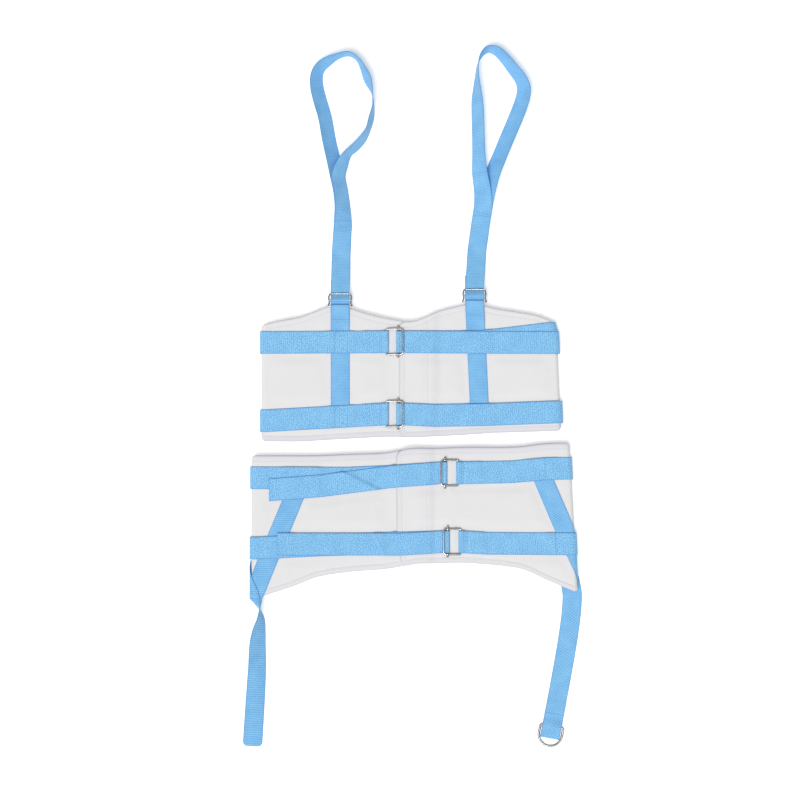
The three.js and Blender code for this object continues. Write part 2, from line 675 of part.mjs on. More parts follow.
// The slider's own frame: distance up the strap from its bottom bar, and height over its plane
function sliderSeat({ slider }) {
  const tilt = THREE.MathUtils.degToRad(SLIDER.tilt);
  const around = SLIDER.wire + GAP + WEBBING_THICKNESS / 2;
  const z = FRONT_STRAP_Z + around;
  const place = (u, v) => ({
    x: slider.x,
    y: slider.y + u * Math.cos(tilt) + v * Math.sin(tilt),
    z: z - u * Math.sin(tilt) + v * Math.cos(tilt),
  });
  return { tilt, around, z, place };
}

function addSlider(sling) {
  const { tilt, z } = sliderSeat(sling);
  const { wire, middleBar, middleLength } = SLIDER;
  const mirrored = SLIDER_EDGE.map((row) => ({ ...row, x: -row.x })).reverse();
  const loop = roundedLoop([...SLIDER_EDGE, ...mirrored], STEPS.sliderBend);
  const middle = new THREE.CylinderGeometry(wire, wire, middleLength, WIRE_SIDES);
  middle.rotateZ(Math.PI / 2).translate(0, middleBar, 0);
  const frame = toSolid(wireLoop(loop, wire)).add(toSolid(middle));
  const mesh = addMesh(harness, `${sling.name}_slider`, toGeometry(frame), STEEL);
  mesh.position.set(sling.slider.x, sling.slider.y, z);
  mesh.rotation.x = -tilt;
}

// Level cloth rows across X
function acrossX(points, width) {
  return points.map(({ x, y, z }) => [
    new THREE.Vector3(x - width / 2, y, z),
    new THREE.Vector3(x + width / 2, y, z),
  ]);
}

function addRiser(sling) {
  const { around, z } = sliderSeat(sling);
  const { x, y } = sling.slider;
  const under = FRONT_STRAP_Z;
  const lineX = (at) => along([{ x, y }, sling.riserEnd], 'y', at, 'x');
  const points = [
    { y: y - RISER.hidden, z: under },
    { y: y - RISER.innerLip, z: under },
    ...arc(y, z, around, -90, 90, STEPS.fold).map((point) => ({ y: point.x, z: point.z })),
    { y: y - RISER.outerLip, z: under + LAYER },
    { y: y - RISER.cover, z: under + LAYER },
    { y: y - RISER.settle, z: under },
    ...places(y - RISER.straight, sling.riserEnd.y, STRAP_PITCH.riser).map((at) => ({ y: at, z: under })),
  ].map((point) => ({ ...point, x: lineX(point.y) }));
  const rows = acrossX(points, SLING_WIDTH);
  addMesh(harness, `chest_${sling.name}_riser`, sheet(rows, WEBBING_THICKNESS), WEBBING_BLUE);
}

// A strap lying free: each row rolled about its own line, its lower edge on the floor
function rolledRows(table, width) {
  return table.map((row, i) => {
    const before = table[Math.max(i - 1, 0)];
    const after = table[Math.min(i + 1, table.length - 1)];
    const heading = new THREE.Vector3(after.x - before.x, after.y - before.y, 0).normalize();
    const roll = THREE.MathUtils.degToRad(row.roll);
    const beside = new THREE.Vector3(heading.y, -heading.x, 0);
    const edge = beside.clone().multiplyScalar(Math.cos(roll)).addScaledVector(UP, -Math.sin(roll));
    const normal = beside.clone().multiplyScalar(Math.sin(roll)).addScaledVector(UP, Math.cos(roll));
    const height = (width / 2) * Math.abs(Math.sin(roll)) + FLOOR_Z * Math.abs(Math.cos(roll));
    const middle = new THREE.Vector3(row.x, row.y, height).addScaledVector(normal, -(row.lift ?? 0));
    return [-1, 1].map((end) => middle.clone().addScaledVector(edge, (end * width) / 2));
  });
}

function addShoulderStrap(sling) {
  const { around, place } = sliderSeat(sling);
  const cross = THREE.MathUtils.radToDeg(Math.asin((2 * around) / (SLIDER.topBar - SLIDER.middleBar)));
  const tail = SLIDER.middleBar + SLIDER.tail;
  const turns = [
    { x: tail, z: -around - LAYER },
    { x: SLIDER.topBar, z: -around - LAYER },
    { x: SLIDER.middleBar + SLIDER.lead, z: -around - LAYER / 2 },
    ...arc(SLIDER.middleBar, 0, around, -90, -270 - cross, STEPS.middleBar),
    ...arc(SLIDER.topBar, 0, around, -90 - cross, -90, STEPS.graze),
  ].map(({ x, z }) => place(x, z));
  const leave = place(SLIDER.topBar, -around);
  const first = sling.loop[0];
  const descent = DESCENT_SHARES.map((share) => ({
    x: THREE.MathUtils.lerp(leave.x, first.x, share),
    y: THREE.MathUtils.lerp(leave.y, first.y, share),
    z: THREE.MathUtils.lerp(leave.z, FLOOR_Z, share),
  }));
  const rows = [
    ...acrossX([...turns, ...descent], SLING_WIDTH),
    ...rolledRows(smooth(sling.loop, CURVE_STEPS), SLING_WIDTH),
  ];
  addMesh(harness, `${sling.name}_shoulder_strap`, sheet(rows, WEBBING_THICKNESS), WEBBING_BLUE);
}

// A point on the belt's surface near a fold, q past the fold's start and so many layers off the panel
function onFold(fold, outward, layer, q, y) {
  const radius = FOLD_RADIUS + STRAP_OVER_PANEL + (layer - 1) * LAYER;
  const half = Math.PI * radius;
  if (q < 0) return new THREE.Vector3(fold + outward * q, y, FOLD_Z + radius);
  if (q > half) return new THREE.Vector3(fold - outward * (q - half), y, FOLD_Z - radius);
  const turn = q / radius;
  return new THREE.Vector3(fold + outward * radius * Math.sin(turn), y, FOLD_Z + radius * Math.cos(turn));
}

// A strap laid on the belt's surface near a fold, from a table of its middle line
function laidRows({ laid: table, windsFrom }, fold, outward, layer) {
  const first = table[0];
  const end = table.at(-1);
  const slant = Math.atan2(end.q - first.q, first.y - end.y);
  const half = PULL_WIDTH / 2 / Math.cos(slant);
  const flat = places(first.y, windsFrom, CORNER_PITCH.flat);
  const wound = places(windsFrom, end.y, CORNER_PITCH.wound).slice(1);
  return [...flat, ...wound].map((y) => {
    const middle = along(table, 'y', y, 'q');
    const row = [];
    for (let j = 0; j <= CORNER_COLUMNS; j++) {
      row.push(onFold(fold, outward, layer, middle - half + (2 * half * j) / CORNER_COLUMNS, y));
    }
    return row;
  });
}

function addCornerStraps() {
  const { leftFold, rightFold } = PELVIC;
  const laid = laidRows(LEFT_PULL, leftFold, -1, 1);
  const free = rolledRows(smooth(LEFT_PULL.free, CURVE_STEPS), PULL_WIDTH).map(([start, end]) => {
    const row = [];
    for (let j = 0; j <= CORNER_COLUMNS; j++) row.push(start.clone().lerp(end, j / CORNER_COLUMNS));
    return row;
  });
  const twistRow = (share) => laid.at(-1).map((point, j) => point.clone().lerp(free[0][j], share));
  const pull = [...laid, ...TWIST_SHARES.map(twistRow), ...free];
  addMesh(harness, 'left_pull_strap', sheet(pull, WEBBING_THICKNESS), WEBBING_BLUE);

  const around = laidRows(LEFT_BACK, leftFold, -1, 2);
  addMesh(harness, 'left_back_strap', sheet(around, WEBBING_THICKNESS), WEBBING_BLUE);

  const diagonal = leaned(PELVIC, laidRows(RIGHT_DIAGONAL, rightFold, 1, 1));
  addMesh(harness, 'right_front_diagonal', sheet(diagonal, WEBBING_THICKNESS), WEBBING_BLUE);
}

function addRightPull() {
  const { join, rise, rest, meet, crest, fold, foldRadius, hidden } = RING_LOOP;
  const over = RING.wire + GAP + WEBBING_THICKNESS / 2;
  const beside = new THREE.Vector3(-RING_HEADING.y, RING_HEADING.x, 0);
  const onStrap = (s) => ({ x: RING_BAR.x + s * RING_HEADING.x, y: RING_BAR.y + s * RING_HEADING.y });
  const lying = smooth([...RIGHT_PULL, onStrap(-join)], CURVE_STEPS).map((row) => ({ ...row, roll: 0 }));
  const ending = [
    { x: -rise, z: FLOOR_Z },
    { x: -rest, z: FLOOR_Z + LAYER },
    { x: -meet, z: FLOOR_Z + LAYER },
    ...arc(0, RING_BAR.z, over, 90 + crest, 90 - crest, STEPS.graze),
    ...arc(fold, FLOOR_Z + foldRadius, foldRadius, 90, -90, STEPS.fold),
    { x: 0, z: FLOOR_Z },
    { x: -hidden, z: FLOOR_Z },
  ].map(({ x, z }) => {
    const middle = new THREE.Vector3(onStrap(x).x, onStrap(x).y, z);
    return [1, -1].map((end) => middle.clone().addScaledVector(beside, (end * PULL_WIDTH) / 2));
  });
  const rows = [...rolledRows(lying, PULL_WIDTH), ...ending];
  addMesh(harness, 'right_pull_strap', sheet(rows, WEBBING_THICKNESS), WEBBING_BLUE);
}

function addRing() {
  const { halfBar, arm, corner, wire } = RING;
  const [leftBar, rightBar] = [1, -1].map((end) => new THREE.Vector2(0, end * halfBar));
  const [leftArm, rightArm] = [1, -1].map((end) => new THREE.Vector2(arm, end * halfBar));
  const loop = [
    ...roundedCorner(leftArm, leftBar, rightBar, corner, STEPS.buckleBend),
    ...roundedCorner(leftBar, rightBar, rightArm, corner, STEPS.buckleBend),
    ...arc(arm, 0, halfBar, -90, 90, STEPS.ring).map(({ x, z }) => new THREE.Vector2(x, z)),
  ];
  const mesh = addMesh(harness, 'd_ring', wireLoop(loop, wire), STEEL);
  mesh.position.set(RING_BAR.x, RING_BAR.y, RING_BAR.z);
  const droop = THREE.MathUtils.degToRad(RING_DROOP);
  mesh.rotation.set(0, droop, Math.atan2(RING_HEADING.y, RING_HEADING.x), 'ZYX');
}

addPanel('chest_panel', CHEST);
addPanel('pelvic_panel', PELVIC);
for (const strap of BELT_STRAPS) {
  addBeltStrap(strap);
  addBuckle(strap);
}
for (const sling of SHOULDER_STRAPS) {
  addRiser(sling);
  addSlider(sling);
  addShoulderStrap(sling);
}
addCornerStraps();
addRightPull();
addRing();

export default harness;
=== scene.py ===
"""Lumbar traction belt: the cloth, webbing, wire and stitches of the harness, built around its frame."""
import json
import math
from collections import namedtuple
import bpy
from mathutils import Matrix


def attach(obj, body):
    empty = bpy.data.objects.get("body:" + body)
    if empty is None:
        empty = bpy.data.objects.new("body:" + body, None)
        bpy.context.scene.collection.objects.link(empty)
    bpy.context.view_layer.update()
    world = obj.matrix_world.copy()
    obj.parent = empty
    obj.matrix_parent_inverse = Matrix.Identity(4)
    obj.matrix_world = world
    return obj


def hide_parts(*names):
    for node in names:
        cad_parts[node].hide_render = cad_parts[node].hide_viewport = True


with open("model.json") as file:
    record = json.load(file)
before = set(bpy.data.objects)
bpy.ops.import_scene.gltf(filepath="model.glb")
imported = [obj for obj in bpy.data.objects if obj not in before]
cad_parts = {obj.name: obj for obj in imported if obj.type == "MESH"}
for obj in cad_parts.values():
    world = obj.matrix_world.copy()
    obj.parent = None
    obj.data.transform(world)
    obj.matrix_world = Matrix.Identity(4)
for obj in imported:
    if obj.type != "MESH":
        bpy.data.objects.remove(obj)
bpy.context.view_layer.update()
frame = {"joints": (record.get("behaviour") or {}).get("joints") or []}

from types import SimpleNamespace

import bpy
import numpy as np
from bpy.props import FloatProperty, FloatVectorProperty, PointerProperty
from mathutils import Vector

bl_info = {
    "name": "Lumbar Traction Belt",
    "version": (1, 0, 0),
    "blender": (4, 5, 0),
    "location": "View3D > Sidebar > Traction Belt",
    "description": "Builds the cloth, webbing, wire and stitches of a two-belt traction harness",
    "category": "Object",
}

MM = 0.001
BODY = "harness"
RING_JOINT = frame["joints"][0]


def length(name, description, millimetres):
    """A size that a user may change, kept in metres."""
    return FloatProperty(
        name=name, description=description, default=millimetres * MM, min=0.0, unit="LENGTH", precision=5
    )


def colour(name, description, red, green, blue):
    """A linear colour that a user may change."""
    return FloatVectorProperty(
        name=name, description=description, default=(red, green, blue), min=0.0, max=1.0, subtype="COLOR"
    )


class WebbingSettings(bpy.types.PropertyGroup):
    """Sizes and colours of the blue webbing"""

    thickness: length("Thickness", "Thickness of the webbing", 1.3)
    gap: length("Gap", "Air between two layers of cloth", 0.3)
    belt_width: length("Belt width", "Width of the straps round the belts", 36)
    threaded_width: length("Threaded width", "Width of a belt strap inside its buckle", 35)
    sling_width: length("Sling width", "Width of the risers and shoulder straps", 30)
    pull_width: length("Pull width", "Width of the corner and pull straps", 31)
    light: colour("Light yarn", "Colour of the raised yarns", 0.345, 0.695, 0.96)
    dark: colour("Dark yarn", "Colour between the yarns", 0.108, 0.352, 0.71)
    # The edge colour is painted shade, mixed in along the edges, cut ends and crease lines where thin shadow
    # lines fall
    edge: colour("Edge shade", "Colour of the edges and cut ends", 0.05, 0.2, 0.52)


class PanelSettings(bpy.types.PropertyGroup):
    """Sizes and colours of the padded panels"""

    panel_thickness: length("Thickness", "Thickness of a panel", 3)
    hollow: length("Hollow", "Height of the space between a panel's front and back", 8)
    corner_radius: length("Corner radius", "Rounding of a panel's free corners", 13)
    fold_corner: length("Fold corner", "Rounding of a panel's corners at its folds", 5.5)
    hem: length("Hem", "Distance of the hem's seam from the edge", 9)
    swell: length("Swell", "How far the padding stands up between the straps", 1.6)
    cloth: colour("Cloth", "Colour of the padded cloth", 0.8, 0.795, 0.8)
    # The hem colour is the turned hem's lavender; on the most strongly tinted hems it also stands in as
    # painted shade
    hem_cloth: colour("Hem", "Colour of the turned hem", 0.7, 0.69, 0.755)
    # The rim colour is painted shade along a panel's outermost edge, where its edge would be shadowed
    rim_cloth: colour("Rim", "Colour of the outermost edge", 0.45, 0.43, 0.54)


class WireSettings(bpy.types.PropertyGroup):
    """Sizes and colours of the steel wire"""

    buckle_length: length("Buckle length", "From a buckle's fixed bar to its end bar", 27)
    buckle_half: length("Buckle half width", "From a buckle's middle to its side wire", 20.5)
    buckle_wire: length("Buckle wire", "Radius of a buckle's wire", 1.5)
    slider_wire: length("Slider wire", "Radius of a slider's wire", 1.3)
    ring_wire: length("Ring wire", "Radius of the D-ring's wire", 1.75)
    ring_half: length("Ring half width", "From the D-ring's middle to its arms", 18.75)
    steel: colour("Steel", "Colour of the nickel-plated wire", 0.5, 0.49, 0.475)
    ring_steel: colour("Ring steel", "Colour of the D-ring, which is duller", 0.3, 0.295, 0.29)


class StitchSettings(bpy.types.PropertyGroup):
    """Sizes and colours of the seams"""

    stitch: length("Stitch", "Length of one stitch", 2.7)
    pitch: length("Pitch", "From one stitch to the next", 3.7)
    thread: length("Thread", "Radius of the thread", 0.4)
    panel_thread: colour("Panel thread", "Colour of the thread in the panels", 0.6, 0.59, 0.68)
    belt_thread: colour("Belt thread", "Colour of the thread in the belt straps", 0.74, 0.84, 0.93)
    sling_thread: colour("Sling thread", "Colour of the thread in the other straps", 0.06, 0.22, 0.55)


class StageSettings(bpy.types.PropertyGroup):
    """Camera, floor and light"""

    view_width: length("View width", "Width of the picture at the harness", 1280)
    camera_height: length("Camera height", "Height of the camera over the floor", 6000)
    floor_size: length("Floor", "Side of the floor", 18000)
    floor: colour("Floor colour", "Colour of the floor", 0.95, 0.95, 0.95)


class TractionBeltSettings(bpy.types.PropertyGroup):
    """Everything that a user would change on the harness"""

    webbing: PointerProperty(type=WebbingSettings)
    panels: PointerProperty(type=PanelSettings)
    wire: PointerProperty(type=WireSettings)
    stitches: PointerProperty(type=StitchSettings)
    stage: PointerProperty(type=StageSettings)


# Short tables of the harness in millimetres, with +Y towards the shoulder loops
Edge = namedtuple("Edge", "x top bottom")
Line = namedtuple("Line", "x y")
Pass = namedtuple("Pass", "start end")
Loop = namedtuple("Loop", "x y roll lift", defaults=(0,))
Laid = namedtuple("Laid", "q y")
Corner = namedtuple("Corner", "x y round")
Crease = namedtuple("Crease", "top bottom height left right")


def table(kind, *rows):
    """The rows of a short table, with the names of their columns."""
    return [kind(*row) for row in rows]


# Each belt's panel: the folds' centres, where its ends stop, the run over which the right front end climbs
# onto the left one, and its edges along X. The free end leans from its top to its bottom. The right fold
# leans too: its cloth is shifted along X by slope for each millimetre above level, more and more from a
# start on, and drawn in by a curve above its upper corner. The hems' values are the strength of their tint:
# the turned hem's lavender, which on the most strongly tinted hems also stands in as painted shade.
CHEST = SimpleNamespace(
    side=1,
    left_fold=-236.6,
    right_fold=229.7,
    hidden_end=23,
    free_end=table(Line, (-23.2, 120), (-23.2, -66)),
    hems=SimpleNamespace(top=0.25, bottom=0.8, end=0.1),
    climb_high=27,
    climb_low=44,
    lean=SimpleNamespace(start=130, slope=-0.045, level=-60, corner=96, curve=0.008),
    outline=table(
        Edge,
        (-246, 113, -72), (-217, 120, -72.8), (-178, 128, -72.8), (-140, 142.5, -70.4),
        (-117, 146, -69.3), (-96, 139, -68), (-76, 132.8, -67), (-50, 126.4, -65.6),
        (-25, 121.4, -65.6), (-6, 119.2, -66.4), (14, 124.8, -65.6), (39, 136, -64.5),
        (78, 145.6, -62.4), (100, 148.8, -61), (129, 140.8, -59.2), (180, 134.4, -57.6),
        (212, 128.8, -56.6), (231, 120.5, -56), (237, 118, -56),
    ),
)
PELVIC = SimpleNamespace(
    side=-1,
    left_fold=-252.4,
    right_fold=250,
    hidden_end=18,
    free_end=table(Line, (-28, -88), (-27, -215), (-20, -272)),
    hems=SimpleNamespace(top=1.0, bottom=0.3, end=0.15),
    climb_high=22,
    climb_low=36,
    lean=SimpleNamespace(start=90, slope=-0.055, level=-202, corner=0, curve=0),
    outline=table(
        Edge,
        (-260, -95.2, -325), (-230, -95.2, -316.8), (-191, -95.2, -304), (-153, -95, -289.6),
        (-102, -92.8, -281.6), (-50, -91.2, -277.6), (-20, -86.4, -273), (1, -83.2, -268.8),
        (39, -83.2, -268), (78, -81.6, -267.2), (116, -81.6, -269.6), (154, -81.6, -273.6),
        (180, -80, -280), (206, -76.8, -293), (231, -75.2, -304), (257, -75.2, -315.2),
    ),
)

# Each belt strap: its buckle's fixed bar and slide bar, its middle line along the leg sewn to the buckle,
# along the threaded leg and along the tail, the degrees that the tail goes on round the far fold, the straps
# that it passes over, its seams in pale thread and in blue thread, and the creases of its tail
CHEST_LOWER_TAIL = table(Line, (-16, -28.8), (34, -31.2), (120, -29.8), (230, -25.6))
BELT_STRAPS = [
    SimpleNamespace(
        name="chest_upper",
        belt=CHEST,
        fixed_bar=-43,
        slide_bar=18.6,
        sewn=table(Line, (-43, 86.6), (-236, 85.6)),
        threaded=table(Line, (-16, 86.6), (105, 87), (230, 100.4)),
        tail=table(Line, (-16, 86.6), (150, 85.6), (230, 85.4)),
        tail_end=229.7,
        tail_wrap=100,
        passes=table(Pass, (-134, -101), (84, 118)),
        seams={"pale": [], "blue": [-54, -128, -107]},
        creases=[],
    ),
    SimpleNamespace(
        name="chest_lower",
        belt=CHEST,
        fixed_bar=-43,
        slide_bar=18.6,
        sewn=table(Line, (-43, -28.8), (-236, -39.6)),
        threaded=CHEST_LOWER_TAIL,
        tail=CHEST_LOWER_TAIL,
        tail_end=229.7,
        tail_wrap=90,
        passes=table(Pass, (-134, -101), (88, 123)),
        seams={"pale": [], "blue": [-54, -128, -107]},
        creases=[],
    ),
    SimpleNamespace(
        name="pelvic_upper",
        belt=PELVIC,
        fixed_bar=71,
        slide_bar=20.6,
        sewn=table(Line, (71, -123), (160, -121.2), (212, -116.6), (250, -115.6)),
        threaded=table(Line, (44, -123), (-40, -128.5), (-107, -131.5), (-252, -130.8)),
        tail=table(Line, (44, -123), (-31, -128.5), (-145, -143.3), (-231, -150.2)),
        tail_end=-231,
        tail_wrap=0,
        passes=table(Pass, (-204, -156), (186, 230)),
        seams={"pale": [84], "blue": [212]},
        creases=table(Crease, (-112, -56, 2.8, 14, 2.4)),
    ),
    SimpleNamespace(
        name="pelvic_lower",
        belt=PELVIC,
        fixed_bar=75,
        slide_bar=20.6,
        sewn=table(Line, (75, -233), (118, -235.6), (250, -236.5)),
        threaded=table(Line, (48, -233), (-140, -238), (-252, -243.2)),
        tail=table(Line, (48, -233), (-20, -237), (-218, -236.8)),
        tail_end=-218,
        tail_wrap=0,
        passes=table(Pass, (-400, -196), (216, 400)),
        seams={"pale": [90], "blue": [229]},
        creases=table(Crease, (-61, -44, 2.6, 2.4, 13)),
    ),
]
# Along a belt strap from its fixed bar: the hidden end, the cover over it, the lip by the bar and where the
# strap is down on the panel again. By the end bar: where it arrives, where its tail is down again, and the
# angle at which the tail leaves the bar.
SEWN_LOOP = SimpleNamespace(hidden=34, cover=35, lip=12, settle=43)
END_BAR = SimpleNamespace(arrive=4, depart=5, leave=268)
# The run over which a strap climbs onto what it passes over, and how far before a free end it is up
HUMP_RUN = 12
EDGE_CLEARANCE = 1
# How dark the painted shadow along a crease's line is, and its width
CREASE_SHADOW = SimpleNamespace(mark=0.85, width=1.6)

# Shoulder straps: the slider's bottom bar, the riser's lower end, the loop's rows and its seams. Each row
# gives the strap's middle, its roll about its own line and its lift over the layer that it is sewn to.
SHOULDER_STRAPS = [
    SimpleNamespace(
        name="left",
        slider=Line(-117.4, 143.5),
        riser_end=Line(-117.1, -46),
        loop=table(
            Loop,
            (-116, 226, 0), (-114.6, 252, 8), (-113.6, 275, 20), (-114.4, 304, 38), (-117.6, 330, 42),
            (-122.4, 352, 42), (-128, 378, 43), (-135.2, 410, 44), (-141.5, 445, 44), (-149, 471, 44),
            (-154.4, 493, 46), (-155.2, 511, 50), (-150, 525, 56), (-138.4, 535, 62), (-121, 544, 76),
            (-104, 547.5, 80), (-90.4, 540, 82), (-81.5, 526, 75), (-73, 506, 67), (-66, 484, 88),
            (-64.5, 464, 95), (-67.5, 445, 105), (-72.5, 427, 104), (-81, 412, 112), (-92, 399.5, 114),
            (-105, 388, 114, 0.2), (-115, 371, 131, 0.8), (-121.2, 351, 138, 1.6), (-117.6, 330, 138, 1.6),
            (-114.4, 304, 142, 1.6), (-113.6, 275, 160, 1.7), (-113.9, 265, 164.5, 1.9),
        ),
        seam_back=(6, 17),
    ),
    SimpleNamespace(
        name="right",
        slider=Line(97.6, 150.5),
        riser_end=Line(106.5, -42),
        loop=table(
            Loop,
            (101.6, 232, 0), (104.4, 252, -2), (108, 278.4, -5), (112.8, 307, -14), (118.4, 330, -26),
            (126, 354, -36), (136.8, 381, -40), (148.8, 410, -40), (158.5, 433, -40), (168, 456, -40),
            (175, 477, -42), (176.8, 493, -46), (171.2, 508, -52), (159.2, 524, -56), (146.4, 540, -60),
            (133.6, 552, -64), (120, 555, -72), (109, 546, -82), (103.2, 531, -92), (101.6, 512, -100),
            (101.6, 493, -112), (102, 474, -125), (103, 448, -130), (103.8, 418, -130), (104.6, 386, -133),
            (106.4, 358, -144, 0.3), (111, 330, -154, 1), (112.2, 307, -166, 1.6), (109.6, 288, -172.5, 1.6),
        ),
        seam_back=(5, 71),
    ),
]
# A riser from its slider's bottom bar, told like a belt strap from its fixed bar, and its seam
RISER = SimpleNamespace(hidden=26, cover=27, lip=13, settle=38, seam=20)

# Corner straps of the pelvic belt: on the panel, q is the distance past the fold's start measured round the
# belt. Free of the panel, a row gives the strap's middle and its roll.
LEFT_PULL = table(Laid, (-66, -150), (-19.6, -262), (6.5, -326))
LEFT_PULL_FREE = table(
    Loop,
    (-246.5, -341, 88), (-244.6, -358, 112), (-247.6, -378, 132), (-249.8, -400, 145), (-250.6, -435, 155),
    (-252.8, -474, 164), (-255.2, -512, 172), (-257.6, -550, 178), (-258.2, -561.5, 178),
)
LEFT_BACK = table(Laid, (36.8, -263), (13.3, -310), (9.5, -325))
RIGHT_DIAGONAL = table(Laid, (-42.6, -125), (-8, -214.4), (27.4, -300))
RIGHT_PULL = table(
    Loop,
    (243, -272, 0), (250, -294, 0), (254.2, -314, 0), (254.4, -330, 0), (252, -358, 0), (246.4, -397, 0),
    (239.5, -437, 0),
)
# The left back strap's seam, back from its end, and the rounding of the left pull strap's free end
LEFT_BACK_SEAM = 8
PULL_END_CORNER = 7

# The D-ring's bar, from the joint that it swings on, and the strap's end round it: distances along the ring
RING_BAR = np.array(RING_JOINT["pos_m"]) / MM
RING_ASIDE = -np.array(RING_JOINT["axis"]) / np.linalg.norm(RING_JOINT["axis"])
RING_HEADING = np.cross(RING_ASIDE, (0, 0, 1))
RING_LOOP = SimpleNamespace(
    join=60, rise=46, rest=36, meet=14, crest=20, fold=17.5, fold_radius=1.55, hidden=30, seam_back=92
)
# The D-ring: the length and the bends of its arms, and how many degrees it droops at rest
RING = SimpleNamespace(arm=13, corner=3, droop=2.8)

# A buckle: its bends by its fixed bar and its end bar, and the eyes and the knobs of its slide bar
BUCKLE_CORNER = SimpleNamespace(fixed=2.5, end=6)
SLIDE_BAR = SimpleNamespace(eye=2.5, eye_length=4, eye_edge=0.35, knob=1.9, knob_out=0.76)
# A slider: its middle and top bars over its bottom bar, its tilt in degrees, how far its strap's short tail
# goes past its middle bar, the angle at which the strap meets that bar, and half of its outline
SLIDER = SimpleNamespace(middle=10, middle_length=35.4, top=20.5, tilt=12, tail=34, arrive=-170)
SLIDER_EDGE = table(Corner, (19.6, 0, 2.4), (17, 6, 2.5), (18.6, 14.5, 3), (16.4, SLIDER.top, 2.4))
# A shoulder strap's slack below a slider's middle bar: its lower leg, its fold and its upper leg, as
# distance up the slider and height over the slider's plane, and the angle at which its fold ends
SLACK = SimpleNamespace(
    lower=[(13.5, -3.3), (9, -3.7), (6, -3.95)], fold=(4.9, -3), radius=0.95, leave=-240, upper=[(6.5, -1.8)]
)

# How fine the meshes are: the pitch of the rows in millimetres, the faces round a bend, the steps of a curve
# from one row of its table to the next, and the columns across a strap
PITCH = SimpleNamespace(
    strap=3, tail=1.5, back=8, riser_end=2.5, ring_loop=2, panel_front=4, panel_end=1, panel_back=8
)
BEND = SimpleNamespace(
    bar=14, fold=16, wrap=10, slide_bar=22, graze=8, slack=8, middle_bar=12, panel_fold=18
)
CURVE = SimpleNamespace(outline=6, shoulder=8, left_pull=10, right_pull=14)
STRAP_COLUMNS = 13
LAID_COLUMNS = 19
# The share of a strap's half width at which the columns next to its edges lie
EDGE_COLUMN = 0.88
# Steps in which a shoulder strap comes down from its slider, and in which the left pull strap twists
DESCENT_STEPS = 22
TWIST_STEPS = 8
# The height over which a shoulder strap settles softly on the floor
SETTLE = 2

# A panel's columns: distances from its edge, then from its hem's seam, and the count of even ones between
# the hems. Its rows are close together on a run before its free end, and its ends' rims are rounded at these
# angles.
EDGE_COLUMNS = (3, 4.5, 6)
SEAM_COLUMNS = (-1.5, -0.7, 0, 0.7, 1.5, 4, 7)
INNER_COLUMNS = 42
END_RUN = 18
END_RIM = np.radians([10, 35, 60, 90])
# Longer than any distance from an end that counts
FAR_OFF = 1e3

# A panel's relief: its seam's groove and the groove's width, the roll of its hem, and the puffs of its
# padding with the lengths of their two waves along X and Y
RELIEF = SimpleNamespace(groove=0.4, groove_width=1.1, roll=0.45)
PUFF = SimpleNamespace(height=0.3, waves=((19, 43), (-61, 27)))
# Where these come in, each from a start to an end: the free end's straight line, the padding left of the
# free end and from the folds, the swell, the puffs and the hem's tint from the hem's seam, the tinted band
# over the hidden end from that end, and how far off a strap the padding is free of it
FADE = SimpleNamespace(
    lean=(4, 46), room=(14, 34), fold=(0, 25), swell=(1, 30), puff=(0, 10), tint=(-1, 1),
    band_on=(-11, -8), band_off=(0, 2), band_edge=(0, 3), strap=(4.5, 19.8)
)
# How far past its ends a strap holds the padding down
STRAP_REACH = 9
# The tint of the band over the hidden end, as a share of the hem's
BAND_TINT = 0.3


def setting_groups():
    """The groups of settings that a user may change."""
    settings = bpy.context.scene.traction_belt
    return [settings.webbing, settings.panels, settings.wire, settings.stitches, settings.stage]


def measures():
    """Every length of the harness in millimetres, with the heights of its layers worked out."""
    m = SimpleNamespace()
    for group in setting_groups():
        for name, kind in group.bl_rna.properties.items():
            if kind.type == "FLOAT" and kind.unit == "LENGTH":
                setattr(m, name, getattr(group, name) / MM)
    m.layer = m.thickness + m.gap
    m.floor_z = m.thickness / 2
    m.back_z = 2 * m.layer + m.panel_thickness / 2
    m.front_z = m.back_z + m.panel_thickness + m.hollow
    m.fold_z = (m.back_z + m.front_z) / 2
    m.fold_radius = m.front_z - m.fold_z
    m.over_panel = m.panel_thickness / 2 + m.gap + m.thickness / 2
    m.strap_z = m.front_z + m.over_panel
    m.overlap = m.panel_thickness + m.gap
    return m


def unit(vectors):
    """Vectors of length one."""
    return vectors / np.maximum(np.linalg.norm(vectors, axis=-1, keepdims=True), 1e-9)


def look_up(rows, value, want, key="x"):
    """Straight line through a table's rows, at any of its columns."""
    rows = sorted(rows, key=lambda row: getattr(row, key))
    return np.interp(value, [getattr(row, key) for row in rows], [getattr(row, want) for row in rows])


def smooth(rows, steps):
    """Smooth curve through a table's rows, every column alike."""
    points = np.array(rows, float)
    padded = np.vstack([points[:1], points, points[-1:]])
    t = (np.arange(steps) / steps)[:, None]
    runs = []
    for a, b, c, d in zip(padded, padded[1:], padded[2:], padded[3:]):
        bend = (2 * a - 5 * b + 4 * c - d) * t**2 + (3 * b - a - 3 * c + d) * t**3
        runs.append(b + ((c - a) * t + bend) / 2)
    return np.vstack(runs + [points[-1:]])


def places(start, end, pitch):
    """Even places from start to end, no further apart than the pitch."""
    return np.linspace(start, end, math.ceil(abs(end - start) / pitch) + 1)


def arc(x, z, radius, start, end, steps):
    """Points of an arc in degrees, as two columns."""
    turn = np.radians(np.linspace(start, end, steps + 1))
    return np.column_stack([x + radius * np.cos(turn), z + radius * np.sin(turn)])


def ease(x, start, end):
    """Share from 0 at the start to 1 at the end, without a kink."""
    share = np.clip((np.asarray(x, float) - start) / (end - start), 0, 1)
    return share * share * (3 - 2 * share)


def bump(x, middle, width):
    """A soft hump of height 1."""
    return np.exp(-(((np.asarray(x, float) - middle) / width) ** 2))


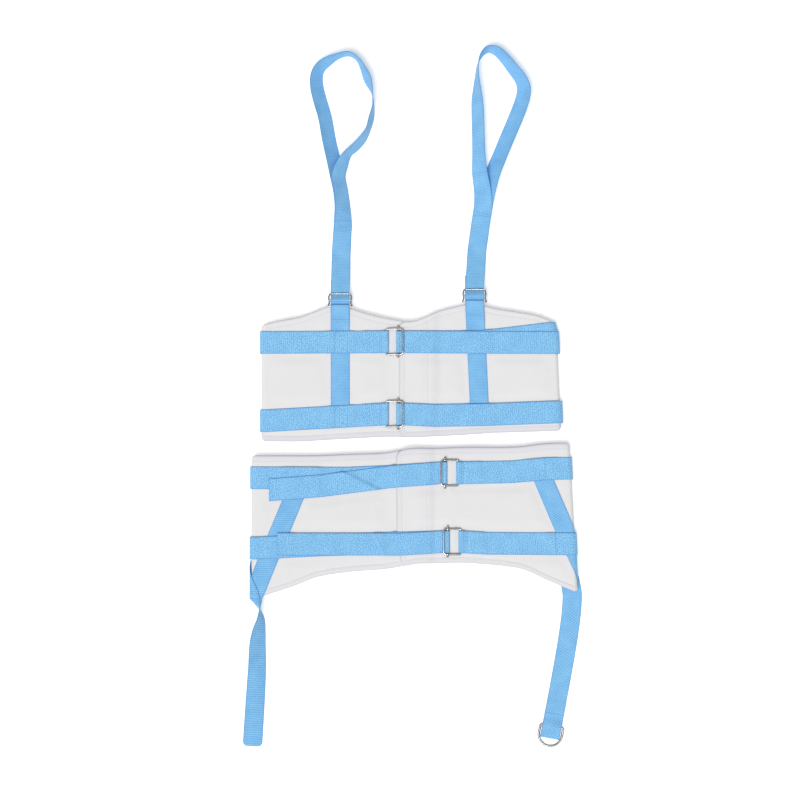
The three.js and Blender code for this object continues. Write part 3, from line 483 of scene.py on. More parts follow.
def corner_inset(distance, radius):
    """How far a rounded corner draws an edge in, at a distance from the corner's end."""
    short = np.maximum(radius - distance, 0)
    return radius - np.sqrt(np.maximum(radius**2 - short**2, 0))


def middle_of(rows):
    """The middle line of a surface given as rows of points."""
    return rows[:, rows.shape[1] // 2]


def steps_along(line):
    """The distances from each point of a line to the next."""
    return np.linalg.norm(np.diff(line, axis=0), axis=-1)


def distance_along(line):
    """The distance of each point of a line from its start."""
    return np.concatenate([[0], np.cumsum(steps_along(line))])


def directions(grid, axis):
    """Unit direction of a grid of points along one of its axes, from the steps on both sides."""
    step = unit(np.diff(grid, axis=axis))
    first = np.take(step, [0], axis=axis)
    last = np.take(step, [-1], axis=axis)
    return unit(np.concatenate([first, step], axis) + np.concatenate([step, last], axis))


def surface_normals(rows):
    """Unit normals of a surface given as rows of points."""
    return unit(np.cross(directions(rows, 1), directions(rows, 0)))


# The angles round a sheet's rims, from its upper to its lower side
RIM = np.radians([60, 30, 0, -30, -60])
# The angles in degrees up to which cloth and wire are shaded smooth
CLOTH_SHARP = 40
WIRE_SHARP = 50


def cloth_grid(rows, half, below):
    """Closed outlines of a sheet of cloth, one a row, with round rims along both edges."""
    normal = surface_normals(rows)
    half = np.broadcast_to(half, rows.shape[:1])[:, None, None]
    top = rows + normal * half
    bottom = rows - normal * (half + np.broadcast_to(below, rows.shape[:2])[..., None])
    left = unit(rows[:, :1] - rows[:, 1:2])
    right = unit(rows[:, -1:] - rows[:, -2:-1])
    cosine = np.cos(RIM)[:, None]
    sine = np.sin(RIM)[:, None]
    right_rim = rows[:, -1:] + half * (right * cosine + normal[:, -1:] * sine)
    left_rim = rows[:, :1] + half * (left * cosine - normal[:, :1] * sine)
    return np.concatenate([top, right_rim, bottom[:, ::-1], left_rim], axis=1)


def row_quads(grid, closed=False):
    """Quads between the round rows of a grid of points, and back to the first row if closed."""
    number = np.arange(grid.shape[0] * grid.shape[1]).reshape(grid.shape[:2])
    if closed:
        number = np.vstack([number, number[:1]])
    beside = np.roll(number, -1, 1)
    return np.stack([number[:-1], beside[:-1], beside[1:], number[1:]], -1).reshape(-1, 4)


def cloth_faces(grid, columns):
    """Faces of a closed sheet: its outside as quads, its two ends as strips."""
    count, around = grid.shape[:2]
    faces = row_quads(grid).tolist()
    rim = len(RIM)
    mirror = 2 * columns + rim - 1
    strips = [[j, mirror - j, mirror - j - 1, j + 1] for j in range(columns - 1)]
    strips.append(list(range(columns + rim, columns - 2, -1)))
    strips.append([0] + list(range(around - 1, around - rim - 2, -1)))
    last = (count - 1) * around
    faces.extend(strips)
    faces.extend([last + corner for corner in reversed(strip)] for strip in strips)
    return faces


def points_out(points, quads):
    """Whether the quads round a body point out of it, from the sign of its volume."""
    a, b, c, d = (points[corner] for corner in np.array(quads).T)
    return np.sum(a * (np.cross(b, c) + np.cross(c, d))) > 0


def add_object(name, data):
    """An object in the scene with a mesh, a camera or a light."""
    one = bpy.data.objects.new(name, data)
    bpy.context.scene.collection.objects.link(one)
    return one


def new_piece(name, points, faces, material, sharp=CLOTH_SHARP):
    """A mesh object from millimetres, shaded smooth up to an angle in degrees."""
    mesh = bpy.data.meshes.new(name)
    mesh.from_pydata((np.asarray(points, float) * MM).tolist(), [], faces)
    mesh.materials.append(material)
    mesh.shade_smooth()
    mesh.set_sharp_from_angle(angle=math.radians(sharp))
    return add_object(name, mesh)


def cloth_uv(grid, rows, faces):
    """Metres round and along a sheet at each corner of its faces, with no jump where its outline closes."""
    count, around = grid.shape[:2]
    closed = np.concatenate([grid, grid[:, :1]], 1)
    step = np.linalg.norm(np.diff(closed, axis=1), axis=-1)
    across = np.concatenate([np.zeros((count, 1)), np.cumsum(step, 1)], 1) * MM
    along = distance_along(rows.mean(axis=1)) * MM
    row, side = np.divmod(np.concatenate(faces), around)
    closing = np.zeros(len(faces), bool)
    closing[around - 1:(count - 1) * around:around] = True
    closing = np.repeat(closing, [len(face) for face in faces])
    side = np.where(closing & (side == 0), around, side)
    return np.column_stack([across[row, side], along[row]])


def add_cloth(name, rows, half, material, below=0, marks=()):
    """A closed sheet of cloth from its middle surface, with its own UV and its marks as attributes."""
    grid = cloth_grid(rows, half, below)
    count, around = grid.shape[:2]
    points = grid.reshape(-1, 3)
    faces = cloth_faces(grid, rows.shape[1])
    if not points_out(points, faces[:(count - 1) * around]):
        faces = [face[::-1] for face in faces]
    piece = new_piece(name, points, faces, material)
    layer = piece.data.uv_layers.new(name="cloth")
    layer.data.foreach_set("uv", cloth_uv(grid, rows, faces).ravel())
    rim = len(RIM)
    for mark, values in marks:
        right = np.repeat(values[:, -1:], rim, 1)
        left = np.repeat(values[:, :1], rim, 1)
        attribute = piece.data.attributes.new(mark, "FLOAT", "POINT")
        outline = np.concatenate([values, right, values[:, ::-1], left], 1)
        attribute.data.foreach_set("value", outline.ravel())
    return piece


def edge_at(panel, x, want):
    """The panel's top or bottom edge at x, as a smooth line."""
    line = smooth(panel.outline, CURVE.outline)
    return np.interp(x, line[:, 0], line[:, Edge._fields.index(want)])


def free_x(panel, y):
    """Where the leaning free end of the panel's right front lies at y."""
    return look_up(panel.free_end, y, "x", "y")


def free_middle(panel):
    """The middle of the leaning free end."""
    return np.mean([row.x for row in panel.free_end])


def overlap_lift(panel, x, m):
    """How far the right front end stands up because it lies over the left one."""
    return m.overlap * (1 - ease(x, panel.climb_high, panel.climb_low))


def leaned(belt, rows):
    """A belt's cloth, shifted along X where its right fold leans."""
    lean = belt.lean
    share = np.clip((rows[..., 0] - lean.start) / (belt.right_fold - lean.start), 0, 1)
    shifted = rows.copy()
    drawn_in = lean.curve * np.maximum(rows[..., 1] - lean.corner, 0) ** 2
    shifted[..., 0] += share * (lean.slope * (rows[..., 1] - lean.level) - drawn_in)
    return shifted


def panel_columns(top, bottom, m):
    """The Y of a panel's columns from its top to its bottom edge, closer together along the hems."""
    near = np.concatenate([[m.panel_thickness / 2], EDGE_COLUMNS, m.hem + np.array(SEAM_COLUMNS)])
    upper = top[:, None] - near
    lower = bottom[:, None] + near[::-1]
    share = np.linspace(0, 1, INNER_COLUMNS + 2)[1:-1]
    inner = upper[:, -1:] + (lower[:, :1] - upper[:, -1:]) * share
    return np.concatenate([upper, inner, lower], 1)


# The number of a panel's column along its hem's seam
SEAM = 1 + len(EDGE_COLUMNS) + SEAM_COLUMNS.index(0)


def panel_path(panel, m):
    """A panel's middle line from its hidden end round the back to its free end: x, z, the distance from the
    end that it comes to, the share of the full thickness there, and which rows are on its left front and on
    its right one."""
    half = m.panel_thickness / 2
    rim = half * (1 - np.cos(END_RIM))[:-1]
    thin = np.sin(END_RIM)[:-1]
    middle = free_middle(panel)
    front = places(panel.hidden_end - half, panel.left_fold, PITCH.panel_front)
    back = places(panel.left_fold, panel.right_fold, PITCH.panel_back)
    over = places(panel.right_fold - middle, END_RUN, PITCH.panel_front)
    over = np.concatenate([over, places(END_RUN, half, PITCH.panel_end)[1:]])

    def run(x, z, end=FAR_OFF, share=1):
        return np.column_stack(np.broadcast_arrays(x, z, end, share))

    def fold(x, start):
        return run(*arc(x, m.fold_z, m.fold_radius, start, start + 180, BEND.panel_fold)[1:-1].T)

    def right_front(end, share=1):
        return run(middle + end, m.front_z + overlap_lift(panel, middle + end, m), end, share)

    parts = [
        run(panel.hidden_end - rim, m.front_z, rim, thin),
        run(front, m.front_z, panel.hidden_end - front),
        fold(panel.left_fold, 90),
        run(back, m.back_z),
        fold(panel.right_fold, -90),
        right_front(over),
        right_front(rim[::-1], thin[::-1]),
    ]
    x, z, end, share = np.vstack(parts).T
    place = np.arange(len(x))
    left = place < len(rim) + len(front)
    right = place >= len(x) - len(rim) - len(over)
    return SimpleNamespace(x=x, z=z, end=end, thin=share, left=left, over=right)


def covered(panel, x, y, m):
    """Share from 0 to 1 by which straps hold the panel's front down at x and y."""
    parts = []
    for strap in BELT_STRAPS:
        if strap.belt is panel:
            for line in (strap.sewn, strap.threaded, strap.tail):
                low, high = sorted([line[0].x, line[-1].x])
                inside = (x > low - STRAP_REACH) & (x < high + STRAP_REACH)
                parts.append((inside, y - look_up(line, x, "y"), m.belt_width))
    if panel is CHEST:
        for sling in SHOULDER_STRAPS:
            riser = look_up([sling.slider, sling.riser_end], y, "x", "y")
            parts.append((True, x - riser, m.sling_width))
    else:
        for laid, fold, side in ((LEFT_PULL, panel.left_fold, -1), (RIGHT_DIAGONAL, panel.right_fold, 1)):
            inside = y < laid[0].y + 2 * STRAP_REACH
            parts.append((inside, side * (x - fold) - look_up(laid, y, "q", "y"), m.pull_width))
    shares = [inside * (1 - ease(np.abs(off) - width / 2, *FADE.strap)) for inside, off, width in parts]
    return np.max(shares, axis=0)


def panel_relief(panel, path, x, y, edge, m):
    """How far a panel's outside stands out: the seam's groove, and the padding where no strap holds it."""
    groove = -RELIEF.groove * bump(edge, m.hem, RELIEF.groove_width)
    roll = RELIEF.roll * np.sin(np.pi * np.clip(edge / m.hem, 0, 1))
    bare = 1 - covered(panel, x, y, m)
    room = np.where(path.left, ease(panel.free_end[0].x - path.x, *FADE.room), path.over)
    folds = ease(path.x - panel.left_fold, *FADE.fold) * ease(panel.right_fold - path.x, *FADE.fold)
    swell = m.swell * ease(edge - m.hem, *FADE.swell) * folds[:, None]
    puff = PUFF.height * ease(edge - m.hem, *FADE.puff)
    for wave_x, wave_y in PUFF.waves:
        puff = puff * np.sin(x / wave_x + y / wave_y)
    return groove + bare * room[:, None] * (roll + swell + puff)


def panel_rows(panel, m):
    """A panel's middle surface, its half thickness, how far its outside stands out, and the marks of its hem
    tint, partly painted shade, and of the painted shade along its rim."""
    path = panel_path(panel, m)
    over = path.over[:, None]
    inset = np.where(path.over, corner_inset(path.end, m.corner_radius), 0)
    turned_in = 1 - np.clip(np.abs(path.z - m.fold_z) / m.fold_radius, 0, 1)
    inset = np.maximum(inset, m.fold_corner * turned_in)
    top = edge_at(panel, path.x, "top") - inset
    bottom = edge_at(panel, path.x, "bottom") + inset
    y = panel_columns(top, bottom, m)
    lean = (free_x(panel, y) - free_middle(panel)) * (1 - ease(path.end, *FADE.lean))[:, None]
    x = path.x[:, None] + np.where(over, lean, 0)
    rows = np.stack([x, y, np.broadcast_to(path.z[:, None], y.shape)], -1)
    free = np.where(over, path.end[:, None], FAR_OFF)
    offs = {"top": top[:, None] - y, "bottom": y - bottom[:, None], "end": np.broadcast_to(free, y.shape)}
    edge = np.min(list(offs.values()), axis=0)
    past_hidden = x - panel.hidden_end
    band = ease(past_hidden, *FADE.band_on) * (1 - ease(past_hidden, *FADE.band_off))
    hem = BAND_TINT * np.where(over, band, 0) * ease(edge, *FADE.band_edge)
    for name, off in offs.items():
        hem = np.maximum(hem, getattr(panel.hems, name) * (1 - ease(off - m.hem, *FADE.tint)))
    half = m.panel_thickness / 2
    return SimpleNamespace(
        rows=leaned(panel, rows),
        half=half * path.thin,
        outside=panel_relief(panel, path, x, y, edge, m),
        # Marks: the hem's lavender tint, partly painted shade, and painted shade along the rim
        marks=[("hem", hem), ("rim", 1 - ease(edge, half, m.panel_thickness))],
        end=path.end,
        over=path.over,
    )


def strap_height(strap, x, m):
    """Height of a belt strap's middle on the front of its panel."""
    belt = strap.belt
    y = look_up(strap.threaded, belt.free_end[0].x, "y")
    free = min(free_x(belt, y - m.belt_width / 2), free_x(belt, y + m.belt_width / 2))
    up = ease(x, free - HUMP_RUN - m.gap, free - EDGE_CLEARANCE)
    height = m.strap_z + up * overlap_lift(belt, x, m)
    for over in strap.passes:
        climb = ease(x, over.start - HUMP_RUN, over.start)
        height = height + m.layer * climb * (1 - ease(x, over.end, over.end + HUMP_RUN))
    return height


def buckle_seat(strap, m):
    """How a buckle's frame lies: its side, the radius of the cloth round its bars, the height of its fixed
    bar, its pitch, and the way from its frame to X and Z."""
    side = strap.belt.side
    around = m.buckle_wire + m.gap + m.thickness / 2
    fixed_z = m.strap_z + around
    end_z = strap_height(strap, strap.fixed_bar + side * m.buckle_length, m) + m.layer + around
    pitch = math.asin((end_z - fixed_z) / m.buckle_length)

    def place(points):
        u, v = np.asarray(points, float).T
        x = strap.fixed_bar + side * (u * math.cos(pitch) - v * math.sin(pitch))
        return np.column_stack([x, fixed_z + u * math.sin(pitch) + v * math.cos(pitch)])

    return SimpleNamespace(side=side, around=around, fixed_z=fixed_z, pitch=pitch, place=place)


def loop_drop(distance, around, loop, m):
    """Height over its bed of a strap that comes off a bar, lies over its own end and settles."""
    rise = 2 * around - m.layer
    lip = rise * (1 - ease(distance, 0, loop.lip))
    return lip + m.layer * (1 - ease(distance, loop.cover, loop.settle))


def buckle_turns(strap, seat, m):
    """A strap's line in its buckle: under the end bar, round the slide bar and back under the end bar."""
    end_v = -seat.around - m.layer
    run = m.buckle_length - strap.slide_bar
    meet = math.atan2(end_v, run) - math.acos(seat.around / math.hypot(run, end_v))
    leave = 90 - math.degrees(math.asin(2 * seat.around / run))
    return seat.place(np.vstack([
        [[m.buckle_length, end_v]],
        arc(strap.slide_bar, 0, seat.around, math.degrees(meet), leave - 360, BEND.slide_bar),
        arc(m.buckle_length, 0, seat.around, 180 + leave, END_BAR.leave, BEND.graze),
    ]))


def belt_strap_line(strap, m):
    """A belt strap's middle line from its sewn end to its tail end: x, y, z and half width, and its tail's
    first row."""
    belt = strap.belt
    seat = buckle_seat(strap, m)
    side = seat.side
    near, far = (belt.left_fold, belt.right_fold) if side > 0 else (belt.right_fold, belt.left_fold)
    near_y = look_up(strap.sewn, near, "y")
    far_y = look_up(strap.threaded, far, "y")

    def level(x):
        return strap_height(strap, x, m)

    def run(x, z, y, width=m.belt_width):
        return np.column_stack(np.broadcast_arrays(x, y, z, width / 2))

    def on_line(table_rows, x, z):
        return run(x, z, look_up(table_rows, x, "y"))

    def round_fold(fold, start, end, steps, y, lift=0):
        radius = (level(fold) - m.floor_z) / 2 + lift
        outward = -side if fold == near else side
        turn = arc(0, level(fold) + lift - radius, radius, start, end, steps)[1:]
        return run(fold + outward * turn[:, 0], turn[:, 1], y)

    # The sewn end goes under itself to the fixed bar, round it and back over itself, then to the near fold
    hidden = places(strap.fixed_bar - side * SEWN_LOOP.hidden, strap.fixed_bar, PITCH.strap)[:-1]
    bar = arc(0, seat.fixed_z, seat.around, -90, 90, BEND.bar)
    sewn = places(strap.fixed_bar, near, PITCH.strap)[1:]
    sewn_z = level(sewn) + loop_drop(np.abs(sewn - strap.fixed_bar), seat.around, SEWN_LOOP, m)
    back = places(near, far, PITCH.back)[1:]
    # It goes round the back and the far fold to the buckle and through it, and its tail lies over that leg
    turns = buckle_turns(strap, seat, m)
    end_bar = turns[0, 0]
    threaded = places(far, end_bar + side * END_BAR.arrive, PITCH.strap)[1:]
    tail = places(end_bar + side * END_BAR.depart, strap.tail_end, PITCH.tail)
    parts = [
        on_line(strap.sewn, hidden, m.strap_z),
        run(strap.fixed_bar + side * bar[:, 0], bar[:, 1], strap.sewn[0].y),
        on_line(strap.sewn, sewn, sewn_z),
        round_fold(near, 90, -90, BEND.fold, near_y),
        on_line([Line(near, near_y), Line(far, far_y)], back, m.floor_z),
        round_fold(far, -90, 90, BEND.fold, far_y),
        on_line(strap.threaded, threaded, level(threaded)),
        run(*turns.T, look_up(strap.threaded, end_bar, "y"), m.threaded_width),
    ]
    tail_start = sum(len(part) for part in parts)
    parts.append(on_line(strap.tail, tail, level(tail) + m.layer))
    if strap.tail_wrap:
        wrapped_y = look_up(strap.tail, far, "y")
        parts.append(round_fold(far, 90, 90 - strap.tail_wrap, BEND.wrap, wrapped_y, m.layer))
    return np.vstack(parts), tail_start


def column_shares(columns):
    """Where a strap's columns lie across it, from -1 to 1, the outer ones close to its edges."""
    inner = np.linspace(-EDGE_COLUMN, EDGE_COLUMN, columns - 2)
    return np.concatenate([[-1], inner, [1]])


def rows_across(line, across, half, m, columns=STRAP_COLUMNS):
    """Rows of points across a strap, short of its edges by the rims' radius."""
    half = np.broadcast_to(half - m.thickness / 2, len(line))[:, None]
    across = np.broadcast_to(across, line.shape)
    return line[:, None] + across[:, None] * (half * column_shares(columns))[..., None]


def belt_strap_rows(strap, m):
    """A belt strap's middle surface with the creases of its tail, and the mark of the painted shadow along
    their lines.
    """
    line, tail_start = belt_strap_line(strap, m)
    rows = rows_across(line[:, :3], (0, -1, 0), line[:, 3], m)
    mark = np.zeros(rows.shape[:2])
    tail = rows[tail_start:]
    share = (1 + column_shares(tail.shape[1])) / 2
    for crease in strap.creases:
        at = crease.top + (crease.bottom - crease.top) * share
        width = np.where(tail[..., 0] < at, crease.left, crease.right)
        tail[..., 2] += crease.height * bump(tail[..., 0], at, width)
        # The crease's line is marked for painted shadow, darkened like the strap's edges
        mark[tail_start:] += CREASE_SHADOW.mark * bump(tail[..., 0], at, CREASE_SHADOW.width)
    return leaned(strap.belt, rows), mark


def slider_seat(sling, m):
    """How a slider lies: its tilt, the radius of the cloth round its bars, the height of its bottom bar, and
    the way from its frame to X, Y and Z."""
    tilt = math.radians(SLIDER.tilt)
    around = m.slider_wire + m.gap + m.thickness / 2
    z = m.strap_z + around

    def place(points):
        u, v = np.asarray(points, float).T
        y = sling.slider.y + u * math.cos(tilt) + v * math.sin(tilt)
        height = z - u * math.sin(tilt) + v * math.cos(tilt)
        return np.column_stack([np.full(u.shape, sling.slider.x), y, height])

    return SimpleNamespace(tilt=tilt, around=around, z=z, place=place)


def riser_rows(sling, m):
    """A riser's middle surface from its hidden end round the slider's bottom bar down to its lower end."""
    seat = slider_seat(sling, m)
    top = sling.slider.y
    hidden = places(top - RISER.hidden, top, PITCH.riser_end)[:-1]
    bar = arc(top, seat.z, seat.around, -90, 90, BEND.bar)
    down = places(top, sling.riser_end.y, PITCH.strap)[1:]
    down_z = m.strap_z + loop_drop(top - down, seat.around, RISER, m)
    y = np.concatenate([hidden, bar[:, 0], down])
    z = np.concatenate([np.full(hidden.shape, m.strap_z), bar[:, 1], down_z])
    line = np.column_stack([look_up([sling.slider, sling.riser_end], y, "x", "y"), y, z])
    return rows_across(line, (1, 0, 0), m.sling_width / 2, m)


def rolled_rows(curve, width, m, columns=STRAP_COLUMNS):
    """A strap lying free: each row rolled about its own line, its lower edge on the floor."""
    x, y, roll, lift = curve.T
    flat = np.column_stack([x, y, np.zeros(len(x))])
    heading = directions(flat[:, None, :], 0)[:, 0]
    beside = np.column_stack([heading[:, 1], -heading[:, 0], np.zeros(len(x))])
    up = np.array([0.0, 0.0, 1.0])
    cosine = np.cos(np.radians(roll))[:, None]
    sine = np.sin(np.radians(roll))[:, None]
    edge = beside * cosine - up * sine
    normal = beside * sine + up * cosine
    height = width / 2 * np.abs(sine) + m.floor_z * np.abs(cosine)
    middle = flat + up * height - normal * lift[:, None]
    return rows_across(middle, edge, width / 2, m, columns)


def shoulder_rows(sling, m):
    """A shoulder strap's middle surface: its short tail, round the slider's middle bar, down and round its
    loop."""
    seat = slider_seat(sling, m)
    cross = math.degrees(math.asin(2 * seat.around / (SLIDER.top - SLIDER.middle)))
    tail = places(SLIDER.middle + SLIDER.tail, SLIDER.top, PITCH.strap)
    turns = seat.place(np.vstack([
        np.column_stack([tail, np.full(tail.shape, -seat.around - m.layer)]),
        SLACK.lower,
        arc(*SLACK.fold, SLACK.radius, -90, SLACK.leave, BEND.slack),
        SLACK.upper,
        arc(SLIDER.middle, 0, seat.around, SLIDER.arrive, -270 - cross, BEND.middle_bar),
        arc(SLIDER.top, 0, seat.around, -90 - cross, -90, BEND.graze),
    ]))
    loop = smooth(sling.loop, CURVE.shoulder)
    start = turns[-1]
    first = np.array([loop[0, 0], loop[0, 1], m.floor_z])
    descent = start + (first - start) * places(0, 1, 1 / DESCENT_STEPS)[1:-1, None]
    lead = rows_across(np.vstack([turns, descent]), (1, 0, 0), m.sling_width / 2, m)
    rows = np.concatenate([lead, rolled_rows(loop, m.sling_width, m)])
    slope = (start[2] - first[2]) / np.linalg.norm(first[:2] - start[:2])
    gone = distance_along(middle_of(rows))
    height = slope * (gone[len(lead)] - gone)
    settle = (np.sqrt(height**2 + SETTLE**2) - np.abs(height)) / 2
    rows[len(turns):, :, 2] += settle[len(turns):, None]
    return rows


def on_fold(fold, outward, layer, q, y, m):
    """Points of the belt's surface near a fold, q past the fold's start and so many layers off the panel."""
    radius = m.fold_radius + m.over_panel + (layer - 1) * m.layer
    half = math.pi * radius
    turn = np.clip(q, 0, half) / radius
    beyond = np.where(q < 0, q, np.where(q > half, half - q, 0))
    x = fold + outward * (radius * np.sin(turn) + beyond)
    return np.stack([x, np.broadcast_to(y, x.shape), m.fold_z + radius * np.cos(turn)], -1)


def laid_rows(laid, fold, outward, layer, m):
    """A strap laid on the belt's surface near a fold, from a table of its middle line."""
    slant = math.atan2(laid[-1].q - laid[0].q, laid[0].y - laid[-1].y)
    half = (m.pull_width - m.thickness) / 2 / math.cos(slant)
    y = places(laid[0].y, laid[-1].y, PITCH.strap)
    q = look_up(laid, y, "q", "y")[:, None] + half * column_shares(LAID_COLUMNS)
    return on_fold(fold, outward, layer, q, y[:, None], m)


def left_back_rows(m):
    """The left back strap's middle surface, over the left pull strap on the same fold."""
    return laid_rows(LEFT_BACK, PELVIC.left_fold, -1, 2, m)


def right_diagonal_rows(m):
    """The right front diagonal's middle surface, on the leaning right fold."""
    return leaned(PELVIC, laid_rows(RIGHT_DIAGONAL, PELVIC.right_fold, 1, 1, m))


def left_pull_rows(m):
    """The left pull strap's middle surface: laid on the belt, half twisted, then free."""
    laid = laid_rows(LEFT_PULL, PELVIC.left_fold, -1, 1, m)
    free = rolled_rows(smooth(LEFT_PULL_FREE, CURVE.left_pull), m.pull_width, m, LAID_COLUMNS)
    middle = middle_of(free)
    inset = corner_inset(np.linalg.norm(middle - middle[-1], axis=-1), PULL_END_CORNER)
    narrowed = 1 - inset / (m.pull_width / 2)
    free = middle[:, None] + (free - middle[:, None]) * narrowed[:, None, None]
    share = places(0, 1, 1 / TWIST_STEPS)[1:-1, None, None]
    return np.concatenate([laid, laid[-1] + (free[0] - laid[-1]) * share, free])


def right_pull_rows(m):
    """The right pull strap's middle surface: flat on the floor, over the D-ring's bar and back under
    itself."""
    loop = RING_LOOP
    over = m.ring_wire + m.gap + m.thickness / 2
    join = RING_BAR - loop.join * RING_HEADING
    lying = smooth(RIGHT_PULL + [Loop(join[0], join[1], 0)], CURVE.right_pull)
    crest = arc(0, RING_BAR[2], over, 90 + loop.crest, 90 - loop.crest, BEND.graze)
    before = places(-loop.rise, crest[0, 0], PITCH.ring_loop)[:-1]
    climb = (crest[0, 1] - m.floor_z - m.layer) * ease(before, -loop.meet, crest[0, 0])
    before_z = m.floor_z + m.layer * ease(before, -loop.rise, -loop.rest) + climb
    turn = arc(loop.fold, m.floor_z + loop.fold_radius, loop.fold_radius, 90, -90, BEND.bar)
    after = places(crest[-1, 0], loop.fold, PITCH.ring_loop)[1:-1]
    after_z = crest[-1, 1] + (turn[0, 1] - crest[-1, 1]) * ease(after, crest[-1, 0], loop.fold)
    under = places(loop.fold, -loop.hidden, PITCH.strap)[1:]
    s = np.concatenate([before, crest[:, 0], after, turn[:, 0], under])
    under_z = np.full(under.shape, m.floor_z)
    line = RING_BAR + s[:, None] * RING_HEADING
    line[:, 2] = np.concatenate([before_z, crest[:, 1], after_z, turn[:, 1], under_z])
    ending = rows_across(line, -RING_ASIDE, m.pull_width / 2, m)
    return np.concatenate([rolled_rows(lying, m.pull_width, m), ending])


# How fine the wire is: the faces round a wire, round the D-ring's and round a turned body, the steps of a
# bend and of the D-ring's half round
WIRE = SimpleNamespace(sides=18, ring_sides=20, turned_sides=24, bend=8, half_round=40)
# The radius left open at the tip of a bar, and the angles along a ball
BAR_TIP = 0.05
BALL_ANGLES = np.radians(np.linspace(-89, 89, 13))


def rounded_corners(corners):
    """The bends of a flat closed loop, each rounded over its own distance."""
    points = np.array([(corner.x, corner.y) for corner in corners], float)
    share = np.linspace(0, 1, WIRE.bend + 1)[:, None]
    bends = []
    for corner, last, here, following in zip(corners, np.roll(points, 1, 0), points, np.roll(points, -1, 0)):
        start = here + unit(last - here) * corner.round
        end = here + unit(following - here) * corner.round
        bends.append(start * (1 - share) ** 2 + 2 * here * share * (1 - share) + end * share**2)
    return bends


def wire_loop(runs, radius, sides=WIRE.sides):
    """A round wire along a closed flat loop made of runs: its points and faces."""
    loop = np.vstack(runs)
    ahead = unit(unit(np.roll(loop, -1, 0) - loop) + unit(loop - np.roll(loop, 1, 0)))
    turn = np.linspace(0, 2 * np.pi, sides, endpoint=False)
    out = radius * np.cos(turn)
    x = loop[:, :1] + ahead[:, 1:] * out
    y = loop[:, 1:] - ahead[:, :1] * out
    points = np.stack([x, y, np.broadcast_to(radius * np.sin(turn), x.shape)], -1)
    outward = row_quads(points, closed=True)[:, [0, 3, 2, 1]]
    return points.reshape(-1, 3), outward.tolist()


def turned(profile):
    """A body turned about the Y axis from its outline, given as radius and distance along the axis."""
    turn = np.linspace(0, 2 * np.pi, WIRE.turned_sides, endpoint=False)
    radius, along = np.array(profile, float).T[..., None]
    ring = radius * np.cos(turn)
    points = np.stack([ring, np.broadcast_to(along, ring.shape), radius * np.sin(turn)], -1)
    return points.reshape(-1, 3), row_quads(points).tolist()


def rod(radius, half):
    """A plain round bar about the Y axis, with flat ends."""
    return turned([(BAR_TIP, -half), (radius, -half), (radius, half), (BAR_TIP, half)])


def ball(radius, middle):
    """A ball on the Y axis."""
    return turned(np.column_stack([radius * np.cos(BALL_ANGLES), middle + radius * np.sin(BALL_ANGLES)]))


def laid_along_x(body, middle):
    """A body about the Y axis, turned to lie along X at a distance along Y."""
    points, faces = body
    return points[:, [1, 0, 2]] * [1, -1, 1] + [0, middle, 0], faces


def eye(radius, bore, long, middle):
    """A sleeve along X round a bore, at a distance along Y."""
    half = long / 2
    inner = half - SLIDE_BAR.eye_edge
    outer = radius - SLIDE_BAR.eye_edge
    profile = [(bore, -half), (outer, -half), (radius, -inner), (radius, inner), (outer, half), (bore, half)]
    return laid_along_x(turned(profile + profile[:1]), middle)


def joined(*bodies):
    """Several bodies as the points and faces of one mesh."""
    points = []
    faces = []
    start = 0
    for body_points, body_faces in bodies:
        points.append(body_points)
        faces.extend([start + corner for corner in face] for face in body_faces)
        start += len(body_points)
    return np.vstack(points), faces


def seated(body, ahead, up, at):
    """A body, laid with its X along ahead and its Z along up."""
    points, faces = body
    return points @ np.vstack([ahead, np.cross(up, ahead), up]) + at, faces


def buckle_frame(strap, m):
    """A buckle's ahead and up directions and the place of its fixed bar."""
    seat = buckle_seat(strap, m)
    ahead = (seat.side * math.cos(seat.pitch), 0, math.sin(seat.pitch))
    up = (-seat.side * math.sin(seat.pitch), 0, math.cos(seat.pitch))
    return ahead, up, (strap.fixed_bar, strap.sewn[0].y, seat.fixed_z)


def buckle_body(strap, m):
    """A buckle's wire frame."""
    fixed = (0, BUCKLE_CORNER.fixed)
    end = (m.buckle_length, BUCKLE_CORNER.end)
    ends = [(*fixed, -1), (*end, -1), (*end, 1), (*fixed, 1)]
    corners = [Corner(x, side * m.buckle_half, bend) for x, bend, side in ends]
    return seated(wire_loop(rounded_corners(corners), m.buckle_wire), *buckle_frame(strap, m))


def slide_bar_body(strap, m):
    """A buckle's slide bar: a bar between two eyes on the side wires, with a ball at each end."""
    bore = m.buckle_wire + m.gap
    wall = (bore + SLIDE_BAR.eye) / 2
    bodies = [rod(m.buckle_wire, m.buckle_half - wall)]
    for end in (-m.buckle_half, m.buckle_half):
        outside = end + math.copysign(SLIDE_BAR.eye + SLIDE_BAR.knob_out, end)
        bodies.append(eye(SLIDE_BAR.eye, bore, SLIDE_BAR.eye_length, end))
        bodies.append(ball(SLIDE_BAR.knob, outside))
    points, faces = joined(*bodies)
    return seated((points + [strap.slide_bar, 0, 0], faces), *buckle_frame(strap, m))


def slider_body(sling, m):
    """A slider: its waisted frame and its middle bar."""
    seat = slider_seat(sling, m)
    mirrored = [Corner(-corner.x, corner.y, corner.round) for corner in reversed(SLIDER_EDGE)]
    outline = wire_loop(rounded_corners(SLIDER_EDGE + mirrored), m.slider_wire)
    bar = laid_along_x(rod(m.slider_wire, SLIDER.middle_length / 2), SLIDER.middle)
    up = (0, math.sin(seat.tilt), math.cos(seat.tilt))
    return seated(joined(outline, bar), (1, 0, 0), up, (sling.slider.x, sling.slider.y, seat.z))


